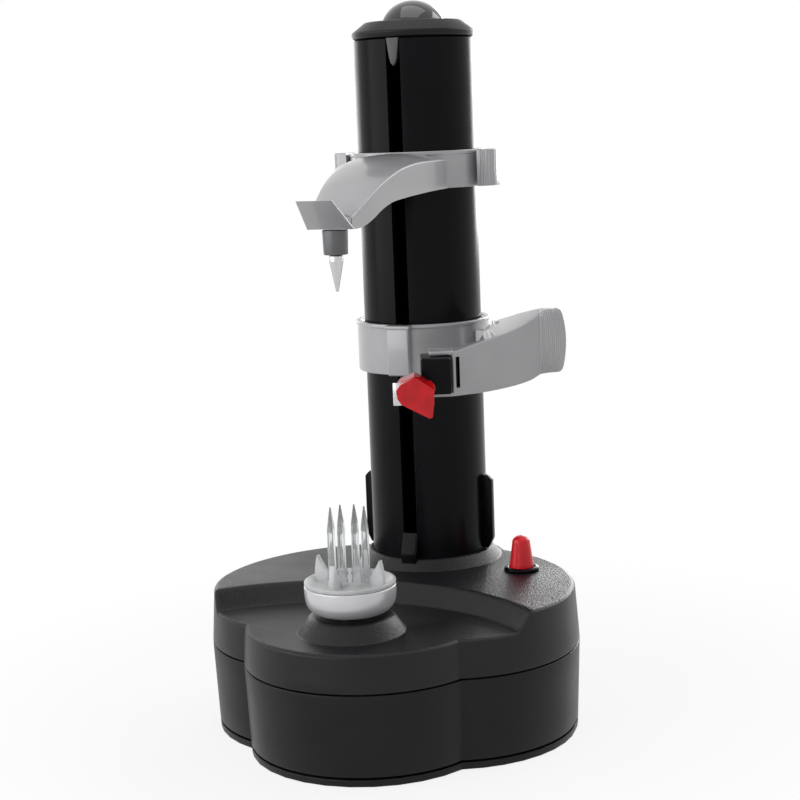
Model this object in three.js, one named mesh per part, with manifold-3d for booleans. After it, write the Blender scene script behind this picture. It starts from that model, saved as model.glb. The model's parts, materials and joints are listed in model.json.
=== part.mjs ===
// Electric potato peeler: a lobed base with a drive train, a turning spindle with prongs,
// a slotted column with a lead screw, a peeling carriage and a sliding upper arm.
// Millimetres, +Z up. The origin is on the column's axis, at the table. The spindle
// stands in front of the column, towards -Y, and the power button is on the +X side.

import * as THREE from 'three';
import { mergeVertices } from 'three/addons/utils/BufferGeometryUtils.js';
import Module from 'manifold-3d';

const wasm = await Module();
wasm.setup();

// Clearances shared by all pieces
const gap = 0.3;
const overrun = 2;
const mergeDistance = 0.0001;

// Facets round a full turn
const fineSides = 36;
const mediumSides = 24;
const coarseSides = 12;
const smallSides = 8;

// Base: heights above the table
const footThickness = 1.2;
const footProud = 0.4;
const plateThickness = 2.6;
const shadowGap = 0.8;
const seamHeight = 35.3;
const seamGap = 0.5;
const trayHeight = 50;
const deckHeight = 57;
const baseWall = 2.5;
const edgeRadius = 1.8;

// Base: the lobes of its outline at the seam, and how far they draw in above and below it
const frontLobeSetback = 15.9;
const frontRadius = 48.1;
const sideReach = 74.2;
const sideLobeY = -47.1;
const sideFrontRadius = 49.8;
const sideBackRadius = 67.8;
const backRadius = 33.4;
const footDraft = 1.3;
const deckDraft = 1.5;
const frontArcPoints = 12;
const sideArcPoints = 7;
const backArcPoints = 6;

// Step between the deck and the lower tray, part of a circle in front of the spindle
const stepAhead = 45.7;
const stepRadius = 84;
const stepRun = 7;

// Spindle
const spindleOffset = 89.3;
const coneFootRadius = 20.5;
const coneTopRadius = 15.6;
const coneTopHeight = 56.6;
const coneWall = 2.4;
const spindleRadius = 3.5;
const bushWall = 1.6;
const bushFlange = 1.8;
const cupRadius = 17.3;
const cupBottom = 57.2;
const cupRim = 69.8;
const cupWall = 1.9;
const cupDishDepth = 3.4;
const shaftRise = 5;
const prongDiscThickness = 1.5;
const prongHubRise = 2.6;
const tineCount = 8;
const tineCircle = 6.8;
const tineRadius = 1.6;
const tineTop = 97;
const tinePoint = 7;
const tinePointRadius = 0.2;
const finCount = 4;
const finTurn = 0.82;
const finThickness = 1.7;
const finTipHeight = 78.2;
const finTipRadius = 13.4;

// Column
const columnRadius = 24;
const columnWall = 2.5;
const columnTop = 270.4;
const columnFlangeRadius = 28;
const columnFlangeThickness = 2.4;
const ringFootRadius = 29.4;
const ringTopRadius = 25.8;
const ringTopHeight = 61.5;
const slotWidth = 5.8;
const slotBottom = 72;
const slotFootWidth = 6.6;
const slotFootDepth = 3;
const slotFootBend = 64;
const ribDepth = 3.9;
const ribThickness = 3.2;
const ribTop = 92.5;
const ribPoint = 4;
const ribHoleRadius = 0.9;
const ribHoleHeight = 73;
const tongueLength = 11;
const capRadius = 24.9;
const capBand = 2.4;
const capTopRadius = 19.2;
const capTopRise = 6.7;
const capPlugDepth = 9;
const domeFootRadius = 12.6;
const domeRise = 8;
const domeRings = 5;

// Lead screw, which runs inside the column behind its slot
const screwOffset = 9;
const threadPitch = 4.3;
const threadRadius = 5;
const threadRootRadius = 3.4;
const threadCrestShare = 0.22;
const threadFlankShare = 0.22;
const threadBottom = 90;
const threadTop = 206;
const threadStepsPerTurn = 8;
const threadPlay = 0.5;
const journalRadius = 2.6;

// Gear train, all in one plane below the deck
const spindleTeeth = 36;
const idlerTeeth = 26;
const screwTeeth = 36;
const pinionTeeth = 12;
const gearBottom = 37;
const gearFace = 6;
const gearHubRadius = 7;
const gearHubRise = 1.6;
const gearPlateBottom = 32;
const gearPlateThickness = 2.2;
const gearPlateMargin = 3.5;
const idlerAxleRadius = 2;
const postRadius = 3.5;
const postX = 27;
const postSpread = 10;
const pinionShaftRadius = 1.4;
const pinionAngle = 0.42;

// Share of the module that each tooth measures
const toothTipShare = 0.8;
const toothRootShare = 1.1;
const toothTipHalfShare = 0.3;
const toothRootHalfShare = 0.98;

// Geared motor, a closed can under the gear plate
const motorRadius = 12;
const motorBottom = 5.5;
const motorNeckRadius = 5;
const motorNeckRise = 1.2;

// Batteries, four cells side by side
const cellRadius = 7.1;
const cellLength = 49;
const cellNubRadius = 2.7;
const cellNubLength = 1.2;
const cellCount = 4;
const cellSpacing = 14.7;
const batteryCentreY = -36;
const batteryBoxWall = 1.6;
const contactThickness = 0.5;

// Screws and feet
const bossRadius = 4.5;
const bossInset = 6.5;
const bossFrontAngle = -0.44;
const bossBackAngle = 0.6;
const screwRadius = 1.4;
const screwHeadRadius = 2.9;
const screwHeadHeight = 1.1;
const screwTop = 45;
const footRadius = 6.5;
const footInset = 11;

// Power button
const buttonX = 44.3;
const buttonY = -15;
const buttonFootRadius = 4.9;
const buttonNeckRadius = 3.6;
const buttonNeckHeight = 68.4;
const buttonTopHeight = 71.2;
const buttonStemRadius = 1.9;
const buttonTravel = 2.5;
const bezelRadius = 7.1;
const bezelThickness = 1.2;
const bezelSleeveWall = 1;
const bezelSleeveDepth = 4;
const switchWidth = 12;
const switchHeight = 9;

// Sliding collars of the carriage and the upper arm
const collarWall = 3;
const collarPlay = 0.5;

// Peeling carriage: its foot height at rest, and sizes from that height up
const carriageRest = 137.5;
const carriageHeight = 20.3;
const nutHousingWidth = 9.2;
const nutHousingDepth = 3;
const nutWidth = 14;
const nutHeight = 12;
const nutFrontDepth = 8.2;
const nutTongueWidth = 5;
const nutTongueHeight = 8;
const nutBackPlay = 0.5;
const lugHeight = 15;
const lugBottom = 1.3;
const lugWidth = 6;
const hingePinRadius = 1.7;

// Peeling lever, in a frame turned by armYaw: x along its face, y towards the column
const armYaw = 21 * Math.PI / 180;
const hingeX = 28.9;
const hingeY = -19.6;
const eyeRadius = 5;
const leverWall = 1.8;
const leverTipX = 1.2;
const leverWallX = 9.4;
const leverFaceY = -62;
const leverForkDepth = 11;
const leverBendX = 44;
const leverBendY = -45;
const leverEndX = 54;
const leverEndDepth = 5.5;
const leverTipTop = 14.8;
const leverWallTop = 13.6;
const leverMidX = 22;
const leverMidTop = 18;
const leverBendTop = 24.9;
const leverEndTop = 26.6;
const leverTipBottom = -3.6;
const leverMidBottom = -2.9;
const leverBendBottom = 0.4;
const leverEndBottom = 1.6;
const gripRibs = 7;
const gripRibDepth = 0.7;
const leverSlotWidth = 1.5;
const leverSlotBottomRise = 3.2;
const leverSlotHeight = 12;
const leverEndRound = 1.6;
const leverEndBulge = 0.7;

// Blade carrier, in the lever's frame
const blockLeft = -2.5;
const blockTailX = 13;
const blockTailDepth = 5;
const blockBevel = 0.8;
const blockHeadLow = -1.5;
const blockHeadHigh = 14;
const blockHeadClearance = 0.6;
const swivelX = -0.6;
const swivelZ = 1;
const swivelPinRadius = 1.3;
const swivelBossRadius = 3.4;
const holderFrontY = -86;
const holderBackY = -69;
const holderWidth = 14;
const holderHeight = 15.4;
const holderLeft = -12.1;
const holderLow = -7.6;
const swivelPinReach = 8;
const bladeThickness = 0.6;
const bladeHeight = 8.5;
const bladeDepth = 4;
const bladeProud = 1.2;
const bladeSetback = 4.5;
const bladeRise = 1.2;

// Upper arm: its foot height at rest, and sizes from that height up
const upperArmRest = 211.3;
const upperCollarHeight = 14.7;
const hoodStart = 18;
const hoodRootHalfWidth = 19.4;
const hoodEndReach = 94;
const hoodEndHalfWidth = 8.7;
const hoodRootTop = 11.2;
const hoodEndTop = -6.2;
const hoodRootBottom = 0;
const hoodEndBottom = -10.7;
const hoodCrown = 3.4;
const hoodWall = 2;
const hoodHollowStart = 31;
const lipReach = 108;
const lipTop = 0.3;
const lipThickness = 1.8;
const lipTopHalfWidth = 7.2;
const beakBossRadius = 6.8;
const socketTopRadius = 5.1;
const socketFootRadius = 4.6;
const socketLength = 9.1;
const socketStubRadius = 3.6;
const socketStubLength = 4.5;
const pinRadius = 2.6;
const pinShaftRadius = 1.6;
const pinShaftLength = 9;
const pinStub = 2.2;
const pinSpikeLength = 11;
const pinSpikeTipRadius = 0.5;
const tabReach = 37.8;
const tabFrontY = -10;
const tabBackY = 0;
const tabTravel = 1.8;
const tabCorner = 1.2;
const tabRibs = 5;
const tabRibWidth = 0.6;
const tabRibDepth = 0.5;
const tabStemWidth = 5;
const tabStemHeight = 7;
const tabStemLength = 1.95;

// Shares of the hood's length, and of its fall from root to beak, along its crest and underside
const hoodStationShares = [0, 0.16, 0.32, 0.48, 0.6, 0.7, 0.79, 0.87, 0.94, 1];
const crestFallShares = [0, 0, 0.02, 0.11, 0.25, 0.4, 0.57, 0.74, 0.89, 1];
const undersideFallShares = [0, 0.04, 0.1, 0.18, 0.27, 0.47, 0.74, 0.93, 1, 1];

// Shares of the hood's half width and of its crown, across its top from the edge to the middle
const hoodTopShares = [[1, 0], [0.62, 0.62], [0.22, 0.95]];

// Shares of the tongue's length and half width, from its top to its tip
const tongueShares = [[0, 1], [0.4, 0.8], [0.7, 0.62], [0.88, 0.42], [1, 0]];

// Shares of the cup's radius and height, up its outside
const cupOutsideShares = [
  [0.7, 0], [0.84, 0.1], [0.94, 0.3], [0.98, 0.58], [1, 0.9], [0.99, 0.98], [0.95, 1],
];

// Shares of the blade holder's width and height, round its outline from its tip
const holderOutlineShares = [
  [0, 0.7], [0.13, 0.85], [0.36, 0.93], [0.5, 1], [0.76, 0.85], [1, 0.69],
  [0.99, 0.36], [0.94, 0.03], [0.86, 0], [0.37, 0.24], [0.13, 0.36], [0.03, 0.5],
];

// Heights that follow from the sizes above
const plateBottom = footProud;
const plateTop = plateBottom + plateThickness;
const shellBottom = plateTop + shadowGap;
const shellTop = seamHeight - seamGap / 2;
const coverBottom = seamHeight + seamGap / 2;
const trayUnderside = trayHeight - baseWall;
const deckUnderside = deckHeight - baseWall;
const gearTop = gearBottom + gearFace;
const gearPlateTop = gearPlateBottom + gearPlateThickness;
const columnBore = columnRadius - columnWall;
const collarBore = columnRadius + collarPlay;
const collarRadius = collarBore + collarWall;

// The front lobe and the step keep their place beside the spindle
const frontLobeY = frontLobeSetback - spindleOffset;
const stepCentreY = -spindleOffset - stepAhead;
const sideFrontX = sideReach - sideFrontRadius;
const sideBackX = sideReach - sideBackRadius;

// Gear places: the train spans from the spindle to the lead screw
const trainTeeth = spindleTeeth / 2 + idlerTeeth + screwTeeth / 2;
const gearModule = (spindleOffset - screwOffset) / trainTeeth;
const idlerOffset = spindleOffset - gearModule * (spindleTeeth + idlerTeeth) / 2;
const pinionDistance = gearModule * (spindleTeeth + pinionTeeth) / 2;
const pinionX = pinionDistance * Math.cos(pinionAngle);
const pinionY = pinionDistance * Math.sin(pinionAngle) - spindleOffset;

// Materials
function finish(color, roughness, metalness) {
  return new THREE.MeshStandardMaterial({ color, roughness, metalness });
}

const blackShell = finish(0x17171a, 0.55, 0);
const blackGloss = finish(0x0c0c0e, 0.2, 0);
const silverPaint = finish(0xb4b5b9, 0.35, 0.3);
const satinMetal = finish(0xcfcfd3, 0.3, 0.8);
const steel = finish(0xb8babd, 0.3, 1);
const brass = finish(0xc2a25a, 0.35, 1);
const clearPlastic = finish(0xe4e8ea, 0.1, 0);
const redPlastic = finish(0xd0101c, 0.3, 0);
const greyPlastic = finish(0x8a8c90, 0.5, 0);
const whiteNylon = finish(0xe6e4dc, 0.5, 0);
const rubber = finish(0x202022, 0.9, 0);
const cellJacket = finish(0x5c7a3c, 0.5, 0);

const part = new THREE.Group();

function group(parent, x = 0, y = 0, z = 0) {
  const made = new THREE.Group();
  made.position.set(x, y, z);
  parent.add(made);
  return made;
}

const spindleGroup = group(part, 0, -spindleOffset);
const screwGroup = group(part, 0, -screwOffset);
const carriageGroup = group(part, 0, 0, carriageRest);
const leverGroup = group(carriageGroup);
leverGroup.rotation.z = armYaw;
const upperArmGroup = group(part, 0, 0, upperArmRest);

// Solids from three.js geometries, with faces pointing out
function toSolid(geometry) {
  geometry.deleteAttribute('normal');
  geometry.deleteAttribute('uv');
  const merged = mergeVertices(geometry, mergeDistance);
  const index = merged.index.array;
  const place = merged.attributes.position.array;
  const kept = [];
  let volume = 0;
  const a = new THREE.Vector3();
  const b = new THREE.Vector3();
  const c = new THREE.Vector3();
  for (let i = 0; i < index.length; i += 3) {
    const corner = [index[i], index[i + 1], index[i + 2]];
    if (corner[0] === corner[1] || corner[1] === corner[2] || corner[2] === corner[0]) continue;
    kept.push(...corner);
    a.fromArray(place, corner[0] * 3);
    b.fromArray(place, corner[1] * 3);
    c.fromArray(place, corner[2] * 3);
    volume += a.dot(b.cross(c));
  }
  if (volume < 0) kept.reverse();
  const mesh = new wasm.Mesh({
    numProp: 3,
    vertProperties: new Float32Array(place),
    triVerts: new Uint32Array(kept),
  });
  return new wasm.Manifold(mesh);
}

function joined(...solids) {
  return solids.reduce((sum, solid) => sum.add(solid));
}

function cut(solid, ...cutters) {
  return cutters.reduce((rest, cutter) => rest.subtract(cutter), solid);
}

function add(parent, name, solid, material, x = 0, y = 0, z = 0) {
  const data = solid.getMesh();
  const geometry = new THREE.BufferGeometry();
  geometry.setAttribute('position', new THREE.BufferAttribute(data.vertProperties, 3));
  geometry.setIndex(new THREE.BufferAttribute(data.triVerts, 1));
  geometry.computeVertexNormals();
  const mesh = new THREE.Mesh(geometry, material);
  mesh.name = name;
  mesh.position.set(x, y, z);
  parent.add(mesh);
  return mesh;
}

// A box between two corners
function box(x0, x1, y0, y1, z0, z1) {
  const geometry = new THREE.BoxGeometry(x1 - x0, y1 - y0, z1 - z0);
  geometry.translate((x0 + x1) / 2, (y0 + y1) / 2, (z0 + z1) / 2);
  return toSolid(geometry);
}

// An upright round rod or cone frustum
function rod(radius, z0, z1, sides = coarseSides, x = 0, y = 0, topRadius = radius) {
  const geometry = new THREE.CylinderGeometry(topRadius, radius, z1 - z0, sides);
  geometry.rotateX(Math.PI / 2);
  geometry.translate(x, y, (z0 + z1) / 2);
  return toSolid(geometry);
}

// A rod lying along Y
function lyingRod(radius, y0, y1, x, z, sides = coarseSides) {
  const geometry = new THREE.CylinderGeometry(radius, radius, y1 - y0, sides);
  geometry.translate(x, (y0 + y1) / 2, z);
  return toSolid(geometry);
}

// A turned piece from a profile of [radius, height] pairs that starts and ends on the axis
function turned(profile, sides = fineSides, x = 0, y = 0) {
  const points = profile.map(([radius, height]) => new THREE.Vector2(radius, height));
  const geometry = new THREE.LatheGeometry(points, sides);
  geometry.rotateX(Math.PI / 2);
  geometry.translate(x, y, 0);
  return toSolid(geometry);
}

// A tube between two radii
function tube(inner, outer, z0, z1, sides = fineSides, x = 0, y = 0) {
  return turned([[inner, z0], [outer, z0], [outer, z1], [inner, z1], [inner, z0]], sides, x, y);
}

function extrudedShape(points, depth) {
  const shape = new THREE.Shape(points.map(([x, y]) => new THREE.Vector2(x, y)));
  return new THREE.ExtrudeGeometry(shape, { depth, bevelEnabled: false });
}

// An outline in plan, raised from z0 to z1
function raised(points, z0, z1) {
  const geometry = extrudedShape(points, z1 - z0);
  geometry.translate(0, 0, z0);
  return toSolid(geometry);
}

// An outline in elevation, x and z, that runs from y0 to y1
function across(points, y0, y1) {
  const geometry = extrudedShape(points, y1 - y0);
  geometry.rotateX(Math.PI / 2);
  geometry.translate(0, y1, 0);
  return toSolid(geometry);
}

// A closed skin through loops of points, with the same count in each loop
function loft(layers) {
  const count = layers[0].points.length;
  const place = [];
  for (const layer of layers) {
    for (const [x, y] of layer.points) place.push(x, y, layer.level);
  }
  const index = [];
  for (let k = 0; k + 1 < layers.length; k += 1) {
    for (let j = 0; j < count; j += 1) {
      const next = (j + 1) % count;
      const low = k * count;
      const high = low + count;
      index.push(low + j, low + next, high + next);
      index.push(low + j, high + next, high + j);
    }
  }
  const outline = layers[0].points.map(([x, y]) => new THREE.Vector2(x, y));
  const faces = THREE.ShapeUtils.triangulateShape(outline, []);
  const top = (layers.length - 1) * count;
  for (const [i, j, k] of faces) {
    index.push(i, k, j);
    index.push(top + i, top + j, top + k);
  }
  const geometry = new THREE.BufferGeometry();
  geometry.setAttribute('position', new THREE.Float32BufferAttribute(place, 3));
  geometry.setIndex(index);
  return geometry;
}

// Points of an arc, without its last point
function arc(x, y, radius, from, to, count) {
  const points = [];
  for (let i = 0; i < count; i += 1) {
    const angle = from + (to - from) * i / count;
    points.push([x + radius * Math.cos(angle), y + radius * Math.sin(angle)]);
  }
  return points;
}

// Where the circle round (0, y1) meets the circle round (x2, y2), on its +X side
function circlesMeet(y1, r1, x2, y2, r2, side) {
  const dy = y2 - y1;
  const span = Math.hypot(x2, dy);
  const along = (span * span + r1 * r1 - r2 * r2) / (2 * span);
  const off = Math.sqrt(r1 * r1 - along * along) * side;
  return [(x2 * along + dy * off) / span, y1 + (dy * along - x2 * off) / span];
}

// How far the outline is drawn in at a height, by the drafts of its walls
function draftAt(z) {
  if (z < seamHeight) return footDraft * (seamHeight - z) / (seamHeight - plateTop);
  return deckDraft * (z - seamHeight) / (deckHeight - seamHeight);
}

// The clover outline of the base at a height, drawn in by an inset
function baseOutline(z, inset = 0) {
  const drawn = inset + draftAt(z);
  const front = frontRadius - drawn;
  const sideFront = sideFrontRadius - drawn;
  const sideBack = sideBackRadius - drawn;
  const back = backRadius - drawn;
  const cusp = circlesMeet(frontLobeY, front, sideFrontX, sideLobeY, sideFront, 1);
  const notch = circlesMeet(0, back, sideBackX, sideLobeY, sideBack, -1);
  const cuspFront = Math.atan2(cusp[1] - frontLobeY, cusp[0]);
  const cuspSide = Math.atan2(cusp[1] - sideLobeY, cusp[0] - sideFrontX);
  const notchSide = Math.atan2(notch[1] - sideLobeY, notch[0] - sideBackX);
  const notchBack = Math.atan2(notch[1], notch[0]);
  return [
    ...arc(0, frontLobeY, front, -Math.PI - cuspFront, cuspFront, frontArcPoints),
    ...arc(sideFrontX, sideLobeY, sideFront, cuspSide, 0, sideArcPoints),
    ...arc(sideBackX, sideLobeY, sideBack, 0, notchSide, sideArcPoints),
    ...arc(0, 0, back, notchBack, Math.PI - notchBack, backArcPoints),
    ...arc(-sideBackX, sideLobeY, sideBack, Math.PI - notchSide, Math.PI, sideArcPoints),
    ...arc(-sideFrontX, sideLobeY, sideFront, Math.PI, Math.PI - cuspSide, sideArcPoints),
  ];
}

function baseLayer(z, inset = 0) {
  return { level: z, points: baseOutline(z, inset) };
}

// Heights at which every layer of the base has its corners, so that walls meet exactly
const sharedLevels = [seamHeight, trayUnderside - overrun, trayHeight - edgeRadius];

// The base body between two heights, with its upper edge rounded
function baseBody(z0, z1, inset = 0, rounding = 0) {
  const layers = [baseLayer(z0, inset)];
  for (const level of sharedLevels) {
    if (level > z0 && level < z1 - rounding) layers.push(baseLayer(level, inset));
  }
  if (rounding === 0) {
    layers.push(baseLayer(z1, inset));
    return toSolid(loft(layers));
  }
  for (const turn of [0, Math.PI / 4, Math.PI / 2]) {
    const level = z1 - rounding * (1 - Math.sin(turn));
    const drawn = baseLayer(level, inset + rounding * (1 - Math.cos(turn)));
    layers.push(drawn);
  }
  return toSolid(loft(layers));
}

// The bowl that lowers the tray in front of the deck; its sloping side is the step
function trayBowl(z0, grow) {
  const slope = stepRun / (deckHeight - trayHeight);
  const z1 = deckHeight + overrun;
  const low = stepRadius + (z0 - trayHeight) * slope + grow;
  const high = stepRadius + (z1 - trayHeight) * slope + grow;
  return rod(low, z0, z1, 2 * mediumSides, 0, stepCentreY, high);
}

// Places of the four case screws
function bossPlaces() {
  const places = [];
  const lobes = [
    [sideFrontX, sideFrontRadius, bossFrontAngle], [sideBackX, sideBackRadius, bossBackAngle],
  ];
  for (const side of [1, -1]) {
    for (const [lobeX, radius, angle] of lobes) {
      const reach = radius - bossInset;
      places.push([side * (lobeX + reach * Math.cos(angle)), sideLobeY + reach * Math.sin(angle)]);
    }
  }
  return places;
}

// Top cover: deck, tray, spindle cone and column ring in one moulding
function topCover() {
  const deck = cut(
    baseBody(trayHeight - edgeRadius, deckHeight, 0, edgeRadius),
    trayBowl(trayHeight - edgeRadius - overrun, 0),
  );
  const outer = joined(baseBody(coverBottom, trayHeight, 0, edgeRadius), deck);
  const pocket = cut(
    baseBody(trayUnderside - overrun, deckUnderside, baseWall),
    trayBowl(trayUnderside - 2 * overrun, baseWall),
  );
  const cavity = joined(baseBody(coverBottom - overrun, trayUnderside, baseWall), pocket);
  const bosses = bossPlaces().map(([x, y]) => (
    rod(bossRadius, coverBottom, trayUnderside + baseWall / 2, smallSides, x, y)
  ));
  const cone = turned([
    [0, trayUnderside], [coneFootRadius, trayUnderside], [coneFootRadius, trayHeight],
    [coneTopRadius, coneTopHeight], [0, coneTopHeight],
  ], mediumSides, 0, -spindleOffset);
  const coneHollow = turned([
    [0, trayUnderside - overrun], [coneFootRadius - coneWall, trayUnderside - overrun],
    [coneFootRadius - coneWall, trayHeight - coneWall],
    [coneTopRadius - coneWall, coneTopHeight - coneWall], [0, coneTopHeight - coneWall],
  ], mediumSides, 0, -spindleOffset);
  const spindleBore = rod(
    spindleRadius + 2 * gap + bushWall, trayUnderside - overrun, coneTopHeight + overrun,
    mediumSides, 0, -spindleOffset,
  );
  const ring = turned([
    [0, deckUnderside], [ringFootRadius, deckUnderside], [ringFootRadius, deckHeight],
    [ringTopRadius, ringTopHeight], [0, ringTopHeight],
  ]);
  const columnHole = rod(columnRadius + gap, deckUnderside - overrun, ringTopHeight + overrun, fineSides);
  const footNotch = box(
    -slotFootWidth / 2 - gap, slotFootWidth / 2 + gap, -columnRadius - slotFootDepth - gap, 0,
    deckHeight + gap, ringTopHeight + overrun,
  );
  const buttonHole = rod(
    bezelRadius - bezelSleeveWall + gap, deckUnderside - overrun, deckHeight + overrun,
    mediumSides, buttonX, buttonY,
  );
  const screwHoles = bossPlaces().map(([x, y]) => (
    rod(screwRadius + gap, coverBottom - overrun, screwTop + gap, smallSides, x, y)
  ));
  const shell = joined(cut(outer, cavity), ...bosses, cone, ring);
  return cut(shell, coneHollow, spindleBore, columnHole, footNotch, buttonHole, ...screwHoles);
}

add(part, 'top_cover', topCover(), blackShell);

// Lower shell: the drafted side wall with its screw bosses
function lowerShell() {
  const wall = cut(
    baseBody(shellBottom, shellTop),
    baseBody(shellBottom - overrun, shellTop + overrun, baseWall),
  );
  const bosses = bossPlaces().map(([x, y]) => (
    rod(bossRadius, shellBottom, shellTop, smallSides, x, y)
  ));
  const holes = bossPlaces().map(([x, y]) => (
    rod(screwRadius + gap, shellBottom - overrun, shellTop + overrun, smallSides, x, y)
  ));
  return cut(joined(wall, ...bosses), ...holes);
}

add(part, 'lower_shell', lowerShell(), blackShell);

// Battery bay: sizes that follow from the cells
const bayHalfWidth = cellSpacing * (cellCount - 1) / 2 + cellRadius + gap;
const bayHalfLength = (cellLength + cellNubLength) / 2 + contactThickness + 2 * gap;
const cellHeight = plateTop + gap + cellRadius;
const bayTop = cellHeight + cellRadius + gap;

// Places of the four feet
const footPlaces = [
  [0, frontLobeY - frontRadius + footInset],
  [sideReach - footInset, sideLobeY],
  [0, 0],
  [footInset - sideReach, sideLobeY],
];

// Bottom plate, with the battery opening, the screw recesses and the seats of the feet
function bottomPlate() {
  const plate = baseBody(plateBottom, plateTop);
  const neck = baseBody(plateTop - overrun / 2, shellBottom - gap, baseWall);
  const neckBore = baseBody(plateTop, shellBottom + overrun, 2 * baseWall);
  const opening = box(
    -bayHalfWidth, bayHalfWidth, batteryCentreY - bayHalfLength, batteryCentreY + bayHalfLength,
    plateBottom - overrun, plateTop + overrun,
  );
  const recessTop = plateBottom + screwHeadHeight + gap;
  const holes = bossPlaces().map(([x, y]) => joined(
    rod(screwRadius + gap, plateBottom - overrun, shellBottom + overrun, smallSides, x, y),
    rod(screwHeadRadius + gap, plateBottom - overrun, recessTop, coarseSides, x, y),
  ));
  const footSeats = footPlaces.map(([x, y]) => (
    rod(footRadius + gap, plateBottom - overrun, footThickness + gap, coarseSides, x, y)
  ));
  return cut(joined(plate, cut(neck, neckBore)), opening, ...holes, ...footSeats);
}

add(part, 'bottom_plate', bottomPlate(), blackShell);

// Battery door, which fills the opening
add(part, 'battery_door', box(
  gap - bayHalfWidth, bayHalfWidth - gap,
  batteryCentreY - bayHalfLength + gap, batteryCentreY + bayHalfLength - gap,
  plateBottom, plateTop - gap,
), blackShell);

// Battery box, open at its foot, over the cells
function batteryBox() {
  const foot = plateTop + gap;
  const outer = box(
    -bayHalfWidth - batteryBoxWall, bayHalfWidth + batteryBoxWall,
    batteryCentreY - bayHalfLength - batteryBoxWall, batteryCentreY + bayHalfLength + batteryBoxWall,
    foot, bayTop + batteryBoxWall,
  );
  const inner = box(
    -bayHalfWidth, bayHalfWidth, batteryCentreY - bayHalfLength, batteryCentreY + bayHalfLength,
    foot - overrun, bayTop,
  );
  return cut(outer, inner);
}

add(part, 'battery_box', batteryBox(), blackShell);

// Cells lie side by side, turned head to tail
for (let i = 0; i < cellCount; i += 1) {
  const facing = i % 2 === 0 ? 1 : -1;
  const x = (i - (cellCount - 1) / 2) * cellSpacing;
  const half = cellLength / 2;
  const start = batteryCentreY - facing * cellNubLength / 2;
  const can = lyingRod(cellRadius, start - half, start + half, x, cellHeight);
  const nubStart = facing > 0 ? start + half - gap : start - half - cellNubLength;
  const nub = lyingRod(cellNubRadius, nubStart, nubStart + cellNubLength + gap, x, cellHeight, smallSides);
  add(part, `battery_cell_${i + 1}`, joined(can, nub), cellJacket);
}

// Contact strips at both ends of the bay
for (const [name, side] of [['contact_strip_front', -1], ['contact_strip_back', 1]]) {
  const wallY = batteryCentreY + side * (bayHalfLength - gap / 2);
  const innerY = wallY - side * contactThickness;
  add(part, name, box(
    -bayHalfWidth + gap, bayHalfWidth - gap, Math.min(wallY, innerY), Math.max(wallY, innerY),
    cellHeight - cellRadius + gap, bayTop - gap,
  ), brass);
}

// Feet under the lobes, in seats of the bottom plate
footPlaces.forEach(([x, y], i) => {
  add(part, `rubber_foot_${i + 1}`, rod(footRadius, 0, footThickness, coarseSides), rubber, x, y);
});

// Case screws, from the bottom plate up into the cover
bossPlaces().forEach(([x, y], i) => {
  const screw = turned([
    [0, plateBottom], [screwHeadRadius, plateBottom],
    [screwHeadRadius, plateBottom + screwHeadHeight], [screwRadius, plateBottom + screwHeadHeight],
    [screwRadius, screwTop], [0, screwTop],
  ], smallSides);
  add(part, `case_screw_${i + 1}`, screw, steel, x, y);
});

// One gear with straight-flanked teeth, in plan
function gearOutline(teeth, turn) {
  const pitchRadius = gearModule * teeth / 2;
  const tip = pitchRadius + toothTipShare * gearModule;
  const root = pitchRadius - toothRootShare * gearModule;
  const points = [];
  for (let i = 0; i < teeth; i += 1) {
    const middle = turn + 2 * Math.PI * i / teeth;
    const flank = [
      [root, -toothRootHalfShare], [tip, -toothTipHalfShare],
      [tip, toothTipHalfShare], [root, toothRootHalfShare],
    ];
    for (const [radius, half] of flank) {
      const angle = middle + half * gearModule / radius;
      points.push([radius * Math.cos(angle), radius * Math.sin(angle)]);
    }
  }
  return points;
}

function gear(teeth, turn, boreRadius, hubRadius) {
  const wheel = raised(gearOutline(teeth, turn), gearBottom, gearTop);
  const hub = rod(hubRadius, gearBottom - gearHubRise, gearTop + gearHubRise, coarseSides);
  const bore = rod(boreRadius, gearBottom - overrun, gearTop + overrun, coarseSides);
  return cut(joined(wheel, hub), bore);
}

// The turn of a driven gear, so that its gap meets the driver's tooth
function meshTurn(driverTeeth, driverTurn, drivenTeeth, direction) {
  const phase = (direction - driverTurn) * driverTeeth / (2 * Math.PI);
  return direction + Math.PI - (0.5 - phase) * 2 * Math.PI / drivenTeeth;
}

const spindleTurn = 0;
const idlerTurn = meshTurn(spindleTeeth, spindleTurn, idlerTeeth, Math.PI / 2);
const screwTurn = meshTurn(idlerTeeth, idlerTurn, screwTeeth, Math.PI / 2);
const pinionTurn = meshTurn(spindleTeeth, spindleTurn, pinionTeeth, pinionAngle);

add(spindleGroup, 'spindle_gear',
  gear(spindleTeeth, spindleTurn, spindleRadius + gap, gearHubRadius), whiteNylon);
add(part, 'idler_gear',
  gear(idlerTeeth, idlerTurn, idlerAxleRadius + gap, gearHubRadius), whiteNylon, 0, -idlerOffset);
add(screwGroup, 'screw_gear',
  gear(screwTeeth, screwTurn, journalRadius + gap, gearHubRadius), whiteNylon);

// Motor pinion with its shaft
const pinion = joined(
  raised(gearOutline(pinionTeeth, pinionTurn), gearBottom, gearTop),
  rod(pinionShaftRadius, gearPlateBottom + gap, gearTop + gearHubRise, smallSides),
);
add(part, 'drive_pinion', pinion, brass, pinionX, pinionY);

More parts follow.
